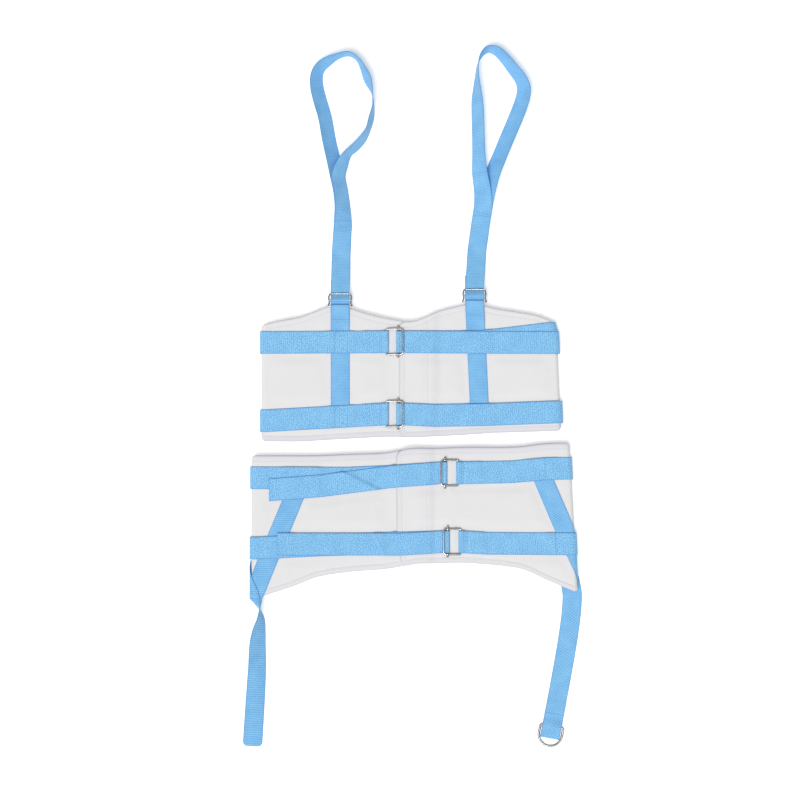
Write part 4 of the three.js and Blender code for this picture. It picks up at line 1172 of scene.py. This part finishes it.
def ring_body(m):
    """The D-ring: its straight bar, two arms and a half round."""
    ends = [(RING.arm, 1, 0), (0, 1, RING.corner), (0, -1, RING.corner), (RING.arm, -1, 0)]
    corners = [Corner(x, side * m.ring_half, bend) for x, side, bend in ends]
    half_round = arc(RING.arm, 0, m.ring_half, -90, 90, WIRE.half_round)
    body = wire_loop(rounded_corners(corners)[1:3] + [half_round], m.ring_wire, WIRE.ring_sides)
    droop = math.radians(RING.droop)
    ahead = RING_HEADING * math.cos(droop) - np.array([0, 0, math.sin(droop)])
    up = RING_HEADING * math.sin(droop) + np.array([0, 0, math.cos(droop)])
    return seated(body, ahead, up, RING_BAR)


def plug(tree, value, socket):
    """Links a socket to another, or sets it to a plain value."""
    if isinstance(value, bpy.types.NodeSocket):
        tree.links.new(value, socket)
    else:
        socket.default_value = value


def fill(tree, node, **values):
    """Links or sets a node's inputs by name, each space in a name written as an underscore."""
    for name, value in values.items():
        plug(tree, value, node.inputs[name.replace("_", " ")])
    return node


def add_node(tree, kind, settings=None, **values):
    """A new node with its settings and its inputs."""
    node = tree.nodes.new(kind)
    for name, value in (settings or {}).items():
        setattr(node, name, value)
    return fill(tree, node, **values)


def calculate(tree, operation, *values, clamp=False):
    """The result of a maths node."""
    node = add_node(tree, "ShaderNodeMath", {"operation": operation, "use_clamp": clamp})
    for value, socket in zip(values, node.inputs):
        plug(tree, value, socket)
    return node.outputs[0]


def noise(tree, vector, grain):
    """Noise from 0 to 1, of a grain given as its scale and detail."""
    scale, detail = grain
    return add_node(tree, "ShaderNodeTexNoise", Vector=vector, Scale=scale, Detail=detail).outputs["Fac"]


def blend(tree, share, low, high):
    """A colour between two."""
    node = add_node(tree, "ShaderNodeMix", {"data_type": "RGBA"})
    colours = [socket for socket in node.inputs if socket.type == "RGBA"]
    for value, socket in zip((share, low, high), (node.inputs[0], *colours)):
        plug(tree, value, socket)
    return next(socket for socket in node.outputs if socket.type == "RGBA")


def object_place(tree):
    """The place of a point on its object."""
    return add_node(tree, "ShaderNodeTexCoord").outputs["Object"]


def mark_of(tree, name):
    """A mark that a piece carries."""
    return add_node(tree, "ShaderNodeAttribute", {"attribute_name": name}).outputs["Fac"]


def raised(tree, height, distance, strength):
    """The normal of a surface with a height on it, as a bump of that real distance."""
    bumped = add_node(tree, "ShaderNodeBump", Height=height, Distance=distance * MM, Strength=strength)
    return bumped.outputs["Normal"]


def opaque(colour_value, share=1.0):
    """A colour with its alpha, made lighter or darker by a share."""
    return tuple(share * part for part in colour_value) + (1.0,)


def node_group(name, kind, inputs, outputs):
    """A new node group with its sockets by name and type: its tree, its inputs and its output node."""
    tree = bpy.data.node_groups.new(name, kind)
    for way, sockets in (("INPUT", inputs), ("OUTPUT", outputs)):
        for socket, value_kind in sockets.items():
            tree.interface.new_socket(socket, in_out=way, socket_type="NodeSocket" + value_kind)
    given = tree.nodes.new("NodeGroupInput")
    return tree, given.outputs, tree.nodes.new("NodeGroupOutput")


# The grain of each noise: its scale and its detail
FUZZ = (640, 2)
CLOUD = (45, 2)
STAIN = (90, 3)
PUCKER = (70, 3)
THREAD_TINT = (900, 2)
# The weave's shares of the yarns beside the ribs, of the clouds and of the height
WOVEN = SimpleNamespace(yarns=0.5, clouds=0.5, height=0.5)
# Plated wire: the stains' colour and share, and the dullness that the stains add to the least one
STAINS = SimpleNamespace(colour=(0.12, 0.12, 0.13, 1), share=0.2)
DULLNESS = SimpleNamespace(stains=0.16, least=0.14)


def weave_group():
    """Ribbed cloth from its own UV: the colour of its yarns and their height."""
    numbers = ("Rib pitch", "Yarn pitch", "Slant", "Rib", "Speckle", "Tone")
    inputs = {"UV": "Vector", "Light": "Color", "Dark": "Color", **dict.fromkeys(numbers, "Float")}
    outputs = {"Color": "Color", "Height": "Float"}
    tree, given, result = node_group("Ribbed cloth", "ShaderNodeTree", inputs, outputs)

    def work(*step, clamp=False):
        return calculate(tree, *step, clamp=clamp)

    split = add_node(tree, "ShaderNodeSeparateXYZ", Vector=given["UV"]).outputs
    across = split["X"]
    along = work("MULTIPLY_ADD", across, given["Slant"], split["Y"])
    rib = work("SINE", work("MULTIPLY", math.tau, work("DIVIDE", along, given["Rib pitch"])))
    offset = work("MULTIPLY", math.pi, work("GREATER_THAN", rib, 0.0))
    yarns = work("DIVIDE", across, given["Yarn pitch"])
    yarn = work("SINE", work("MULTIPLY_ADD", yarns, math.tau, offset))
    fuzz = work("SUBTRACT", noise(tree, given["UV"], FUZZ), 0.5)
    cloud = work("SUBTRACT", noise(tree, given["UV"], CLOUD), 0.5)
    woven = work("MULTIPLY_ADD", yarn, WOVEN.yarns, rib)
    share = work("MULTIPLY_ADD", woven, given["Rib"], given["Tone"])
    share = work("MULTIPLY_ADD", fuzz, given["Speckle"], share)
    share = work("MULTIPLY_ADD", cloud, WOVEN.clouds, share, clamp=True)
    height = work("MULTIPLY_ADD", fuzz, given["Speckle"], work("MULTIPLY", woven, WOVEN.height))
    fill(tree, result, Color=blend(tree, share, given["Dark"], given["Light"]), Height=height)
    return tree


def polish_group():
    """Plated wire: a colour with faint stains, and how dull it is."""
    inputs = {"Position": "Vector", "Steel": "Color"}
    outputs = {"Color": "Color", "Roughness": "Float"}
    tree, given, result = node_group("Plated wire", "ShaderNodeTree", inputs, outputs)
    stain = noise(tree, given["Position"], STAIN)
    dulled = blend(tree, STAINS.share, given["Steel"], STAINS.colour)
    rough = calculate(tree, "MULTIPLY_ADD", stain, DULLNESS.stains, DULLNESS.least)
    fill(tree, result, Color=blend(tree, stain, given["Steel"], dulled), Roughness=rough)
    return tree


def new_material(name):
    """A material with a plain shader: the material, its tree and its shader."""
    material = bpy.data.materials.new(name)
    material.use_nodes = True
    return material, material.node_tree, material.node_tree.nodes["Principled BSDF"]


# Each webbing: its ribs' pitch in millimetres and slant, the strength of its ribs and of its speckle, how
# light it is between its two yarns, and how strongly painted shade darkens its edges, cut ends and creases
Weave = namedtuple("Weave", "pitch slant rib speckle tone edge")
WEAVES = {
    "belt_webbing": Weave(3.2, 0.0, 0.12, 4.0, 0.5, 0.55),
    "sling_webbing": Weave(2.4, 0.0, 0.14, 1.0, 0.4, 0.5),
    "pull_webbing": Weave(3.6, 0.0, 0.2, 1.2, 0.38, 0.5),
    "twill_webbing": Weave(6.5, 1.2, 0.24, 1.2, 0.42, 0.5),
    "ring_webbing": Weave(5.0, -1.0, 0.2, 1.2, 0.42, 0.5),
}
# All webbing: its yarns' pitch in millimetres, and how steeply the painted shade along its edges falls off
YARN_PITCH = 1.6
EDGE_SHADE_FALL = 3.0
# The padded cloth: its weave, the light and dark of its yarns as shares of its colour, the shares of its
# hem tint, partly painted shade, and of the painted shade along its rim, and how strongly it puckers
PADDED = Weave(1.1, 0.0, 0.12, 0.5, 0.5, 0)
PADDED_YARNS = SimpleNamespace(light=1.02, dark=0.95)
PADDED_TINT_AND_SHADE = SimpleNamespace(hem=0.6, rim=0.3)
PUCKERING = 2.2
# The dark and the light of a thread, as shares of its colour
THREAD_SHADES = (0.85, 1.1)


def woven_cloth(tree, group, look, yarn_pitch, light, dark):
    """The colour and the height of a weave in a material."""
    uv = add_node(tree, "ShaderNodeUVMap", {"uv_map": "cloth"}).outputs[0]
    node = add_node(tree, "ShaderNodeGroup", {"node_tree": group}, UV=uv, Light=light, Dark=dark)
    fill(tree, node, Rib_pitch=look.pitch * MM, Yarn_pitch=yarn_pitch * MM, Slant=look.slant)
    fill(tree, node, Rib=look.rib, Speckle=look.speckle, Tone=look.tone)
    return node.outputs["Color"], node.outputs["Height"]


def webbing_material(name, group, yarns):
    """Blue webbing with ribs, with painted shade along its edges, cut ends and crease lines."""
    _, tree, shader = new_material(name)
    look = WEAVES[name]
    woven, height = woven_cloth(tree, group, look, YARN_PITCH, opaque(yarns.light), opaque(yarns.dark))
    edge_shade = calculate(tree, "POWER", mark_of(tree, "edge"), EDGE_SHADE_FALL)
    share = calculate(tree, "MULTIPLY", edge_shade, look.edge)
    shaded_weave = blend(tree, share, woven, opaque(yarns.edge))
    normal = raised(tree, height, distance=0.35, strength=0.5)
    fill(tree, shader, Base_Color=shaded_weave, Normal=normal, Roughness=0.88, Sheen_Weight=0.12)


def panel_material(group, panels):
    """White padded cloth: its hems tinted lavender, partly as painted shade, and painted shade along its
    outermost edge.
    """
    _, tree, shader = new_material("padded_cloth")
    light = opaque(panels.cloth, PADDED_YARNS.light)
    dark = opaque(panels.cloth, PADDED_YARNS.dark)
    tinted, height = woven_cloth(tree, group, PADDED, PADDED.pitch, light, dark)
    # The hem mark tints the hems lavender, on the most strongly marked hems also as painted shade; the rim
    # mark puts painted shade along the outermost edge
    for mark, tint in (("hem", panels.hem_cloth), ("rim", panels.rim_cloth)):
        share = calculate(tree, "MULTIPLY", mark_of(tree, mark), getattr(PADDED_TINT_AND_SHADE, mark))
        tinted = blend(tree, share, tinted, opaque(tint))
    pucker = noise(tree, object_place(tree), PUCKER)
    height = calculate(tree, "MULTIPLY_ADD", pucker, PUCKERING, height)
    normal = raised(tree, height, distance=0.5, strength=0.35)
    fill(tree, shader, Base_Color=tinted, Normal=normal, Roughness=0.92)


def steel_material(name, group, steel):
    """Plated steel wire."""
    _, tree, shader = new_material(name)
    place = object_place(tree)
    polish = add_node(tree, "ShaderNodeGroup", {"node_tree": group}, Position=place, Steel=opaque(steel))
    colour_out, rough = polish.outputs
    fill(tree, shader, Base_Color=colour_out, Roughness=rough, Metallic=1.0)


def thread_material(name, thread):
    """Sewing thread with an uneven tint."""
    _, tree, shader = new_material(name)
    dark, light = (opaque(thread, share) for share in THREAD_SHADES)
    tint = blend(tree, noise(tree, object_place(tree), THREAD_TINT), dark, light)
    fill(tree, shader, Base_Color=tint, Roughness=0.7)


def materials():
    """The harness's materials by name, made once."""
    settings = bpy.context.scene.traction_belt
    if "plated_wire" not in bpy.data.materials:
        weave = weave_group()
        for name in WEAVES:
            webbing_material(name, weave, settings.webbing)
        panel_material(weave, settings.panels)
        polish = polish_group()
        steel_material("plated_wire", polish, settings.wire.steel)
        steel_material("ring_wire", polish, settings.wire.ring_steel)
        for name in ("panel_thread", "belt_thread", "sling_thread"):
            thread_material(name, getattr(settings.stitches, name))
    return bpy.data.materials


# A stitch's shape: the faces round and along it, the range of its uneven half length as shares of the
# stitch, and the seed of that range
STITCH_FACES = SimpleNamespace(segments=6, rings=5)
UNEVEN = SimpleNamespace(least=0.4, most=0.5, seed=7)
# How far off its place a seam may find a row of its strap
SEAM_REACH = 3
# How far past the hidden end's edge the seam over it is
HIDDEN_SEAM = 1


def stitch_tree():
    """Geometry nodes that set stitches along the lines of a mesh."""
    sizes = dict.fromkeys(("Pitch", "Stitch", "Thread"), "Float")
    sockets = {"Lines": "Geometry", **sizes, "Material": "Material"}
    tree, given, result = node_group("Stitch row", "GeometryNodeTree", sockets, {"Stitches": "Geometry"})

    def add(kind, settings=None, **values):
        return add_node(tree, kind, settings, **values)

    curve = add("GeometryNodeMeshToCurve", Mesh=given["Lines"]).outputs[0]
    spaced = add("GeometryNodeResampleCurve", {"mode": "LENGTH"}, Curve=curve, Length=given["Pitch"])
    bead = add("GeometryNodeMeshUVSphere", Segments=STITCH_FACES.segments, Rings=STITCH_FACES.rings)
    uneven = add("FunctionNodeRandomValue", Seed=UNEVEN.seed)
    low, high = [socket for socket in uneven.inputs if socket.enabled][:2]
    low.default_value = UNEVEN.least
    high.default_value = UNEVEN.most
    share = next(socket for socket in uneven.outputs if socket.enabled)
    long = calculate(tree, "MULTIPLY", given["Stitch"], share)
    size = add("ShaderNodeCombineXYZ", X=long, Y=given["Thread"], Z=given["Thread"])
    tangent = add("GeometryNodeInputTangent")
    facing = add("FunctionNodeAlignRotationToVector", {"axis": "X"}, Vector=tangent.outputs[0])
    sewn = add(
        "GeometryNodeInstanceOnPoints", Points=spaced.outputs[0], Instance=bead.outputs["Mesh"],
        Rotation=facing.outputs[0], Scale=size.outputs[0]
    )
    whole = add("GeometryNodeRealizeInstances", Geometry=sewn.outputs[0])
    finish = add("GeometryNodeSetMaterial", Geometry=whole.outputs[0], Material=given["Material"])
    tree.links.new(finish.outputs[0], result.inputs[0])
    return tree


def sew(name, lines, material, m):
    """Stitches along lines in millimetres, as one plain mesh."""
    edges = []
    start = 0
    for line in lines:
        edges.extend([i, i + 1] for i in range(start, start + len(line) - 1))
        start += len(line)
    guide_mesh = bpy.data.meshes.new(name + "_lines")
    guide_mesh.from_pydata((np.vstack(lines) * MM).tolist(), edges, [])
    guide = add_object(name + "_lines", guide_mesh)
    modifier = guide.modifiers.new("stitches", "NODES")
    modifier.node_group = bpy.data.node_groups.get("Stitch row") or stitch_tree()
    values = {"Pitch": m.pitch * MM, "Stitch": m.stitch * MM, "Thread": m.thread * MM, "Material": material}
    for socket in modifier.node_group.interface.items_tree:
        if socket.name in values:
            modifier[socket.identifier] = values[socket.name]
    depsgraph = bpy.context.evaluated_depsgraph_get()
    mesh = bpy.data.meshes.new_from_object(guide.evaluated_get(depsgraph), depsgraph=depsgraph)
    bpy.data.objects.remove(guide)
    mesh.shade_smooth()
    return add_object(name, mesh)


def on_top(rows, index, m):
    """The line across a strap at one of its rows, on the side that faces up."""
    normal = surface_normals(rows)[index]
    normal = normal * np.where(normal[:, 2:] < 0, -1, 1)
    return (rows[index] + normal * (m.thickness / 2))[1:-1]


def seam_at(rows, x, m):
    """The seam across a belt strap's topmost row at x."""
    middle = middle_of(rows)
    near = np.abs(middle[:, 0] - x) < SEAM_REACH
    return on_top(rows, np.argmax(np.where(near, middle[:, 2], -1)), m)


def seam_back(rows, distance, m):
    """The seam across a strap at a distance back from its end."""
    gone = distance_along(middle_of(rows))
    return on_top(rows, np.argmin(np.abs(gone[-1] - gone - distance)), m)


def panel_seams(panel, m):
    """The seams along a panel's hems, its free end and its hidden end, on its outside."""
    shape = panel_rows(panel, m)
    outer = shape.rows - surface_normals(shape.rows) * (shape.half[:, None] + shape.outside)[..., None]
    inside = shape.end > m.hem
    past_hidden = shape.rows[:, SEAM, 0] - panel.hidden_end
    lines = [outer[inside, SEAM], outer[inside, -1 - SEAM]]
    for off in (shape.end - m.hem, past_hidden - HIDDEN_SEAM):
        across = np.argmin(np.where(shape.over, np.abs(off), np.inf))
        lines.append(outer[across, SEAM:-SEAM])
    return lines


def belt_seams(thread, m):
    """The seams across the belt straps in one thread, pale or blue."""
    lines = []
    for strap in BELT_STRAPS:
        rows = belt_strap_rows(strap, m)[0]
        lines.extend(seam_at(rows, x, m) for x in strap.seams[thread])
    return lines


def sling_seams(m):
    """The seams in blue thread, across all straps."""
    lines = belt_seams("blue", m)
    for sling in SHOULDER_STRAPS:
        rows = shoulder_rows(sling, m)
        lines.extend(seam_back(rows, distance, m) for distance in sling.seam_back)
        lines.append(seam_back(riser_rows(sling, m), sling.slider.y - sling.riser_end.y - RISER.seam, m))
    lines.append(seam_back(left_back_rows(m), LEFT_BACK_SEAM, m))
    lines.append(seam_back(right_pull_rows(m), RING_LOOP.seam_back, m))
    return lines


def dress(piece, slot, *nodes, body=BODY):
    """Ties a piece to its body and hides its CAD nodes. Its slot is not used."""
    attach(piece, body)
    if nodes:
        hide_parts(*nodes)


def add_strap(name, rows, material, m, mark=0):
    """A strap of webbing from its middle surface."""
    # The edge mark puts painted shade along the strap's edges and cut ends, and along its crease lines
    edge = np.zeros(rows.shape[:2])
    edge[[0, -1]] = 1
    edge[:, [0, -1]] = 1
    marks = [("edge", np.maximum(edge, mark))]
    piece = add_cloth(name + "_webbing", rows, m.thickness / 2, materials()[material], marks=marks)
    dress(piece, "webbing", name)


def add_panel(name, panel, m):
    """A padded panel."""
    shape = panel_rows(panel, m)
    cloth = materials()["padded_cloth"]
    piece = add_cloth(name + "_cloth", shape.rows, shape.half, cloth, below=shape.outside, marks=shape.marks)
    dress(piece, "panel_cloth", name)


def add_wire(name, points_and_faces, body=BODY, material="plated_wire"):
    """A steel piece in place of its CAD node."""
    points, faces = points_and_faces
    piece = new_piece(name + "_wire", points, faces, materials()[material], WIRE_SHARP)
    dress(piece, "steel", name, body=body)


class TRACTION_BELT_OT_panels(bpy.types.Operator):
    """Build the two padded panels"""

    bl_idname = "traction_belt.panels"
    bl_label = "Panels"

    def execute(self, context):
        m = measures()
        add_panel("chest_panel", CHEST, m)
        add_panel("pelvic_panel", PELVIC, m)
        return {"FINISHED"}


class TRACTION_BELT_OT_belt_straps(bpy.types.Operator):
    """Build the four straps round the belts"""

    bl_idname = "traction_belt.belt_straps"
    bl_label = "Belt straps"

    def execute(self, context):
        m = measures()
        for strap in BELT_STRAPS:
            rows, mark = belt_strap_rows(strap, m)
            add_strap(strap.name + "_strap", rows, "belt_webbing", m, mark)
        return {"FINISHED"}


class TRACTION_BELT_OT_shoulder_straps(bpy.types.Operator):
    """Build the risers and the shoulder loops"""

    bl_idname = "traction_belt.shoulder_straps"
    bl_label = "Shoulder straps"

    def execute(self, context):
        m = measures()
        for sling in SHOULDER_STRAPS:
            riser = riser_rows(sling, m)
            loop = shoulder_rows(sling, m)
            add_strap(f"chest_{sling.name}_riser", riser, "sling_webbing", m)
            add_strap(f"{sling.name}_shoulder_strap", loop, "sling_webbing", m)
        return {"FINISHED"}


class TRACTION_BELT_OT_corner_straps(bpy.types.Operator):
    """Build the corner straps and the pull straps of the pelvic belt"""

    bl_idname = "traction_belt.corner_straps"
    bl_label = "Corner straps"

    def execute(self, context):
        m = measures()
        add_strap("left_pull_strap", left_pull_rows(m), "pull_webbing", m)
        add_strap("left_back_strap", left_back_rows(m), "pull_webbing", m)
        add_strap("right_front_diagonal", right_diagonal_rows(m), "twill_webbing", m)
        add_strap("right_pull_strap", right_pull_rows(m), "ring_webbing", m)
        return {"FINISHED"}


class TRACTION_BELT_OT_buckles(bpy.types.Operator):
    """Build the buckles' wire frames and their slide bars"""

    bl_idname = "traction_belt.buckles"
    bl_label = "Buckles"

    def execute(self, context):
        m = measures()
        for strap in BELT_STRAPS:
            add_wire(strap.name + "_buckle", buckle_body(strap, m))
            add_wire(strap.name + "_slide_bar", slide_bar_body(strap, m))
        return {"FINISHED"}


class TRACTION_BELT_OT_sliders(bpy.types.Operator):
    """Build the two sliders of the shoulder straps"""

    bl_idname = "traction_belt.sliders"
    bl_label = "Sliders"

    def execute(self, context):
        m = measures()
        for sling in SHOULDER_STRAPS:
            add_wire(sling.name + "_slider", slider_body(sling, m))
        return {"FINISHED"}


class TRACTION_BELT_OT_ring(bpy.types.Operator):
    """Build the D-ring of the right pull strap"""

    bl_idname = "traction_belt.ring"
    bl_label = "D-ring"

    def execute(self, context):
        m = measures()
        add_wire("d_ring", ring_body(m), RING_JOINT["child"], "ring_wire")
        return {"FINISHED"}


class TRACTION_BELT_OT_stitches(bpy.types.Operator):
    """Sew the seams of the panels and of the webbing"""

    bl_idname = "traction_belt.stitches"
    bl_label = "Stitches"

    def execute(self, context):
        m = measures()
        threads = materials()
        hems = panel_seams(CHEST, m) + panel_seams(PELVIC, m)
        dress(sew("panel_stitches", hems, threads["panel_thread"], m), "panel_cloth")
        dress(sew("belt_stitches", belt_seams("pale", m), threads["belt_thread"], m), "webbing")
        dress(sew("sling_stitches", sling_seams(m), threads["sling_thread"], m), "webbing")
        return {"FINISHED"}


# The middle of the picture on the floor in millimetres, and the width of the camera's sensor
VIEW_MIDDLE = (-21.6, -6.4)
SENSOR = 36.0
# The floor's own glow, as of a light table
FLOOR_GLOW = 0.3
# One wide light: its place, its spread in degrees and its strength
LIGHT = SimpleNamespace(place=(-0.7, -1.2, 3.4), spread=34, strength=2.35)
# The sky: its strength, how its light grows with height from the horizon's share, and its colour where it is
# dark and where it is bright
SKY = SimpleNamespace(
    strength=0.44, growth=0.85, horizon=0.3, dark=(0.05, 0.05, 0.055, 1), bright=(1, 1, 1, 1)
)


def add_floor(m, floor_colour):
    """A plain pale floor."""
    half = m.floor_size / 2
    corners = [(-half, -half, 0), (half, -half, 0), (half, half, 0), (-half, half, 0)]
    pale = opaque(floor_colour)
    material, tree, shader = new_material("floor")
    fill(tree, shader, Base_Color=pale, Roughness=0.9, Emission_Color=pale, Emission_Strength=FLOOR_GLOW)
    return new_piece("floor", corners, [[0, 1, 2, 3]], material)


def add_camera(m):
    """A camera straight over the harness, far off behind a long lens."""
    data = bpy.data.cameras.new("camera")
    data.sensor_width = SENSOR
    data.lens = SENSOR * (m.camera_height - m.front_z) / m.view_width
    camera = add_object("camera", data)
    camera.location = Vector((*VIEW_MIDDLE, m.camera_height)) * MM
    bpy.context.scene.camera = camera


def add_light():
    """A wide even light from one direction."""
    data = bpy.data.lights.new("softbox", "SUN")
    data.angle = math.radians(LIGHT.spread)
    data.energy = LIGHT.strength
    light = add_object("softbox", data)
    light.location = LIGHT.place
    light.rotation_euler = (-Vector(LIGHT.place)).to_track_quat("-Z", "Y").to_euler()


def add_sky():
    """White light from above that is dimmer towards the horizon, so that the wire has dark edges."""
    world = bpy.data.worlds.new("sky")
    bpy.context.scene.world = world
    world.use_nodes = True
    tree = world.node_tree
    heading = add_node(tree, "ShaderNodeTexCoord").outputs["Generated"]
    up = add_node(tree, "ShaderNodeSeparateXYZ", Vector=heading).outputs["Z"]
    high = calculate(tree, "MULTIPLY_ADD", up, SKY.growth, SKY.horizon, clamp=True)
    seen = add_node(tree, "ShaderNodeLightPath").outputs["Is Camera Ray"]
    sky = blend(tree, seen, blend(tree, high, SKY.dark, SKY.bright), SKY.bright)
    fill(tree, tree.nodes["Background"], Color=sky, Strength=SKY.strength)


class TRACTION_BELT_OT_stage(bpy.types.Operator):
    """Set the floor, the camera and the light"""

    bl_idname = "traction_belt.stage"
    bl_label = "Stage"

    def execute(self, context):
        m = measures()
        scene = context.scene
        add_floor(m, scene.traction_belt.stage.floor)
        add_camera(m)
        add_light()
        add_sky()
        scene.view_settings.view_transform = "Standard"
        return {"FINISHED"}


class TRACTION_BELT_PT_sidebar(bpy.types.Panel):
    """Sizes, colours and build steps of the harness"""

    bl_label = "Traction Belt"
    bl_idname = "TRACTION_BELT_PT_sidebar"
    bl_space_type = "VIEW_3D"
    bl_region_type = "UI"
    bl_category = "Traction Belt"

    def draw(self, context):
        for group in setting_groups():
            box = self.layout.box()
            for name in group.__annotations__:
                box.prop(group, name)
        for operator in OPERATORS:
            self.layout.operator(operator.bl_idname)


OPERATORS = (
    TRACTION_BELT_OT_panels,
    TRACTION_BELT_OT_belt_straps,
    TRACTION_BELT_OT_shoulder_straps,
    TRACTION_BELT_OT_corner_straps,
    TRACTION_BELT_OT_buckles,
    TRACTION_BELT_OT_sliders,
    TRACTION_BELT_OT_ring,
    TRACTION_BELT_OT_stitches,
    TRACTION_BELT_OT_stage,
)
CLASSES = (
    WebbingSettings,
    PanelSettings,
    WireSettings,
    StitchSettings,
    StageSettings,
    TractionBeltSettings,
    *OPERATORS,
    TRACTION_BELT_PT_sidebar,
)


def register():
    """Adds the classes and the settings to Blender."""
    for one in CLASSES:
        bpy.utils.register_class(one)
    bpy.types.Scene.traction_belt = PointerProperty(type=TractionBeltSettings)


def unregister():
    """Takes the settings and the classes out of Blender."""
    del bpy.types.Scene.traction_belt
    for one in reversed(CLASSES):
        bpy.utils.unregister_class(one)


def main():
    """Builds the dressed harness and its stage."""
    register()
    bpy.ops.traction_belt.panels()
    bpy.ops.traction_belt.belt_straps()
    bpy.ops.traction_belt.shoulder_straps()
    bpy.ops.traction_belt.corner_straps()
    bpy.ops.traction_belt.buckles()
    bpy.ops.traction_belt.sliders()
    bpy.ops.traction_belt.ring()
    bpy.ops.traction_belt.stitches()
    bpy.ops.traction_belt.stage()


if __name__ == "__main__":
    main()
